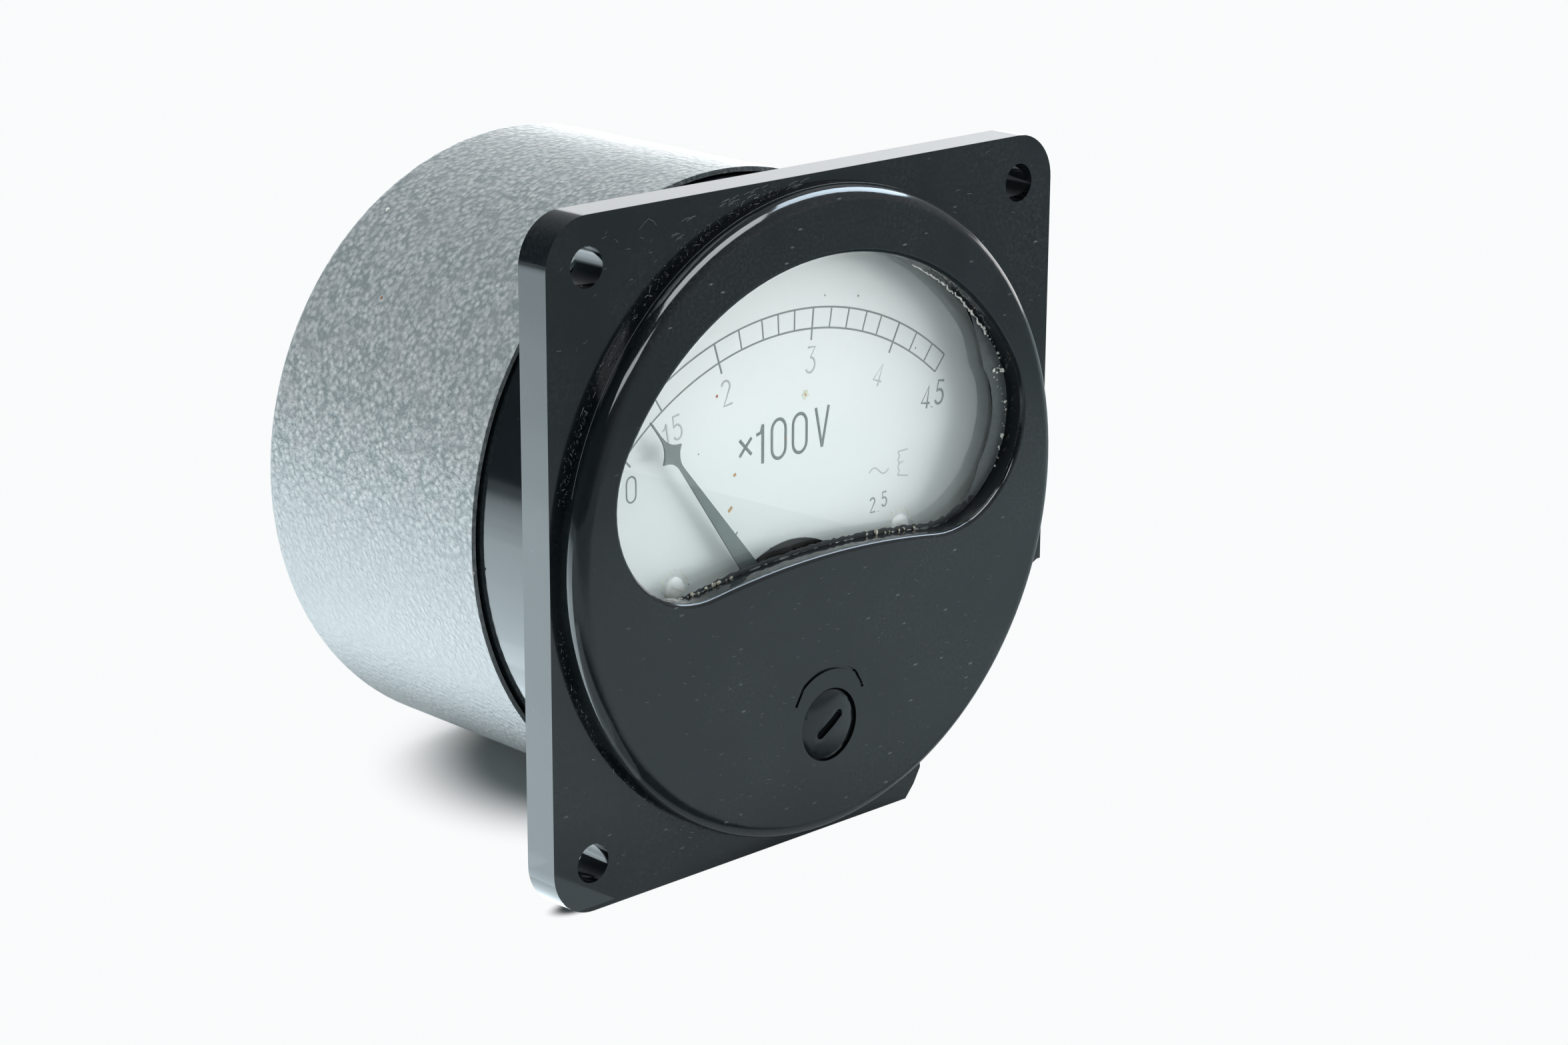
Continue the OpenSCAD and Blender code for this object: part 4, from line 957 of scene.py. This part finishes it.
threaded_stud("left", -STUD_X)
threaded_stud("right", STUD_X)


# the photograph's camera, fitted to the flange, its holes, the raised front and the can

PHOTO_WIDTH_PIXELS = 2352
FOCAL_PIXELS = 5212.8
SENSOR_WIDTH = 36
CAMERA_TURN, CAMERA_RISE, CAMERA_ROLL = -44.18, 16.82, 0.33
CAMERA_BACK, CAMERA_LEFT, CAMERA_DOWN = 403.7, 3.33, 1.20


def photo_camera():
    turn, rise, roll = (math.radians(a) for a in (CAMERA_TURN, CAMERA_RISE, CAMERA_ROLL))
    back = Vector((math.sin(turn) * math.cos(rise), -math.cos(turn) * math.cos(rise), math.sin(rise)))
    level = (-back).cross(Vector((0, 0, 1))).normalized()
    upright = level.cross(-back)
    right = level * math.cos(roll) + upright * math.sin(roll)
    up = upright * math.cos(roll) - level * math.sin(roll)
    place = Vector((0, FLANGE_Y, 0)) + back * CAMERA_BACK - right * CAMERA_LEFT - up * CAMERA_DOWN
    bpy.ops.object.camera_add()
    camera = bpy.context.object
    camera.matrix_world = Matrix.Translation(place * MM) @ Matrix((right, up, back)).transposed().to_4x4()
    camera.data.sensor_width = SENSOR_WIDTH
    camera.data.lens = FOCAL_PIXELS / PHOTO_WIDTH_PIXELS * SENSOR_WIDTH
    camera.data.clip_start = 0.01
    scene.camera = camera


# floor and light

FLOOR_Z = -0.04003
CARD_Z = -0.0393
# The floor rises towards the back by this share of the way
FLOOR_RISE = 0.0372
WHITE = (0.955, 0.962, 0.968)


def reach(f, centre, radii):
    """Distance on the floor from a centre, 1 at the ellipse with these radii."""
    near = f.node("Mapping")
    near.inputs["Location"].default_value = (-centre[0] / radii[0], -centre[1] / radii[1], 0)
    near.inputs["Scale"].default_value = (1 / radii[0], 1 / radii[1], 0)
    f.tree.links.new(f.place, near.inputs["Vector"])
    length = f.node("VectorMath")
    length.operation = "LENGTH"
    f.tree.links.new(near.outputs[0], length.inputs[0])
    return length.outputs["Value"]


def floor_white():
    """Pale floor, white to the camera but for the shadow beside the can, with a painted shadow there in the
    floor's darker colour; greyer in the polished faces, with painted shade near the object's front and where
    it is seen steeply.
    """
    f = Finish("floor_white")
    f.set(Roughness=0.9, Specular_IOR_Level=0.05)
    path = f.node("LightPath")
    to_back = f.coordinate("Y")
    past_can = f.eased(reach(f, (0, 0.030), (0.0225, 0.0205)), 0.75, 1.5)
    past_corner = f.eased(reach(f, (-0.0352, -0.002), (0.004, 0.0022)), 0.3, 1.0)
    open_floor = f.sum("MINIMUM", past_can, past_corner)
    clear_of_can = f.eased(reach(f, (0, 0.022), (0.042, 0.036)), 0.62, 1.0)
    pale = f.mix(f.noise(60, 2), (0.83, 0.845, 0.85), (0.86, 0.87, 0.875))
    # Beside the can and under the flange's corner the floor's colour is darker, a painted shadow
    f.link(f.mix(open_floor, (0.30, 0.335, 0.34), pale), "Base Color")
    # The floor's brightness in the polished faces is painted: darker far in front, with painted shade near
    # the object's front where it is seen steeply
    open_front = f.mix(f.eased(to_back, -0.20, -0.08), (0.30, 0.36, 0.38), (0.62, 0.73, 0.77))
    lit = f.mix(f.eased(to_back, -0.035, -0.010), open_front, (0.48, 0.565, 0.60))
    slant = f.node("LayerWeight")
    slant.inputs["Blend"].default_value = 0.5
    grazing = f.eased(slant.outputs["Facing"], 0.40, 0.62)
    steep = f.mix(f.eased(to_back, -0.0125, -0.0095), (0.085, 0.10, 0.105), (0.40, 0.46, 0.48))
    mirrored = f.mix(grazing, steep, lit)
    to_camera = f.sum("MULTIPLY", path.outputs["Is Camera Ray"], open_floor)
    to_mirror = f.sum("MULTIPLY", path.outputs["Is Glossy Ray"], clear_of_can)
    white = f.node("Emission")
    f.tree.links.new(f.mix(path.outputs["Is Glossy Ray"], WHITE, mirrored), white.inputs[0])
    f.show(f.sum("MAXIMUM", to_camera, to_mirror), f.skin.outputs[0], white.outputs[0])
    return f.material


def floor():
    bpy.ops.mesh.primitive_grid_add(x_subdivisions=8, y_subdivisions=8, size=4)
    ground = take("floor")
    ground.rotation_euler = (math.atan(FLOOR_RISE), 0, 0)
    ground.location = (0, 0, FLOOR_Z)
    settle(ground)
    ground.data.materials.append(floor_white())


def studio():
    """White behind the object, and a soft light that is dim on the left and brighter on the right."""
    world = bpy.data.worlds.new("studio")
    scene.world = world
    world.use_nodes = True
    tree = world.node_tree
    tree.nodes.clear()
    out = tree.nodes.new("ShaderNodeOutputWorld")
    way = tree.nodes.new("ShaderNodeTexCoord")
    split = tree.nodes.new("ShaderNodeSeparateXYZ")
    tree.links.new(way.outputs["Generated"], split.inputs[0])
    from_left = tree.nodes.new("ShaderNodeMapRange")
    from_left.inputs["From Min"].default_value = -1
    from_left.inputs["From Max"].default_value = 1
    tree.links.new(split.outputs["X"], from_left.inputs["Value"])
    side = tree.nodes.new("ShaderNodeValToRGB")
    dim, bright = side.color_ramp.elements
    dim.position, dim.color = 0.25, (0.07, 0.082, 0.09, 1)
    bright.position, bright.color = 0.85, (0.62, 0.65, 0.68, 1)
    tree.links.new(from_left.outputs[0], side.inputs[0])
    lamp = tree.nodes.new("ShaderNodeBackground")
    lamp.inputs[1].default_value = 0.75
    tree.links.new(side.outputs[0], lamp.inputs[0])
    white = tree.nodes.new("ShaderNodeBackground")
    white.inputs[0].default_value = (*WHITE, 1)
    path = tree.nodes.new("ShaderNodeLightPath")
    both = tree.nodes.new("ShaderNodeMixShader")
    tree.links.new(path.outputs["Is Camera Ray"], both.inputs[0])
    tree.links.new(lamp.outputs[0], both.inputs[1])
    tree.links.new(white.outputs[0], both.inputs[2])
    tree.links.new(both.outputs[0], out.inputs[0])


def softbox(name, place, target, size, power, colour, glossy=True, diffuse=True):
    bpy.ops.object.light_add(type="AREA")
    lamp = take(name)
    lamp.data.shape = "RECTANGLE"
    lamp.data.size, lamp.data.size_y = size
    lamp.data.energy = power
    lamp.data.color = colour
    lamp.location = place
    lamp.rotation_euler = (Vector(target) - Vector(place)).to_track_quat("-Z", "Y").to_euler()
    lamp.visible_camera = False
    lamp.visible_glossy = glossy
    lamp.visible_diffuse = diffuse


def light(name, place, target, size, power, colour):
    """A lamp that lights the object and isn't seen in its polish."""
    softbox(name, place, target, size, power, colour, glossy=False)


def card(name, place, target, size, power, colour):
    """A card that is seen in the polish and doesn't light the matt faces."""
    softbox(name, place, target, size, power, colour, diffuse=False)


def floor_card(name, x_span, y_span, glow, colour=(0.80, 0.94, 1.0), glossy=True):
    """A pale sheet on the floor, seen in the polished faces or lighting the front; glow 1 is white."""
    size = (x_span[1] - x_span[0], y_span[1] - y_span[0])
    x, y = sum(x_span) / 2, sum(y_span) / 2
    z = CARD_Z + FLOOR_RISE * y
    power = glow * math.pi * size[0] * size[1]
    softbox(name, (x, y, z), (x, y - FLOOR_RISE, z + 1), size, power, colour, glossy, not glossy)


DAYLIGHT = (1.0, 0.995, 0.985)
PALE_BLUE = (0.97, 0.99, 1.0)
SKY_BLUE = (0.90, 0.96, 1.0)
CENTRE = (0, 0, 0)

photo_camera()
floor()
studio()
light("light_right", (0.42, -0.35, 0.0), CENTRE, (0.45, 0.13), 1.75, DAYLIGHT)
light("light_front_left", (-0.30, -0.60, 0.02), CENTRE, (0.4, 0.12), 0.2, (0.96, 0.985, 1.0))
floor_card("light_table", (0.10, 0.45), (-0.46, -0.06), 0.95, DAYLIGHT, glossy=False)
light("light_overhead", (0.45, 0.30, 0.65), (0, 0.02, 0), (0.9, 0.9), 10.0, (0.98, 0.99, 1.0))
light("light_left_low", (-0.55, 0.20, 0.08), (0, 0.02, 0), (0.5, 0.1), 2.4, PALE_BLUE)
card("card_back_right", (0.52, 0.62, 0.22), (0, 0, 0.02), (0.6, 0.18), 0.47, PALE_BLUE)
card("card_back_low", (0.52, 0.62, 0.05), (0, 0, 0.02), (0.6, 0.14), 1.3, PALE_BLUE)
card("card_top", (0.0, -0.22, 0.62), CENTRE, (0.5, 0.30), 3.6, SKY_BLUE)
card("card_front_left", (-0.28, -0.44, 0.35), CENTRE, (0.3, 0.12), 0.7, SKY_BLUE)
card("card_window", (0.48, -0.06, 0.50), CENTRE, (0.30, 0.50), 5.0, (0.72, 0.87, 1.0))
card("card_right_low", (0.85, 0.0, 0.02), CENTRE, (0.5, 0.2), 0.8, (1.0, 0.98, 0.98))

# Sheets on the floor at the left: their right edge, the reach of each, and their glow together
CARDS_LEFT = [("far", -0.042, (0.31, 0.37, 0.43, 0.50), 2.1), ("mid", -0.033, (0.16, 0.20, 0.24), 1.3),
              ("near", -0.026, (0.08, 0.105, 0.135), 1.9)]
for part, edge, sides, glow in CARDS_LEFT:
    for i, side in enumerate(sides):
        floor_card("card_left_" + part + "_" + str(i + 1), (-side, edge), (-0.003, side), glow / len(sides))
floor_card("card_left_foot", (-0.050, -0.030), (0.008, 0.07), 1.1)
floor_card("card_left_front", (-0.10, -0.040), (-0.030, -0.003), 0.8)
floor_card("card_left_front_near", (-0.10, -0.031), (-0.034, -0.003), 0.5)
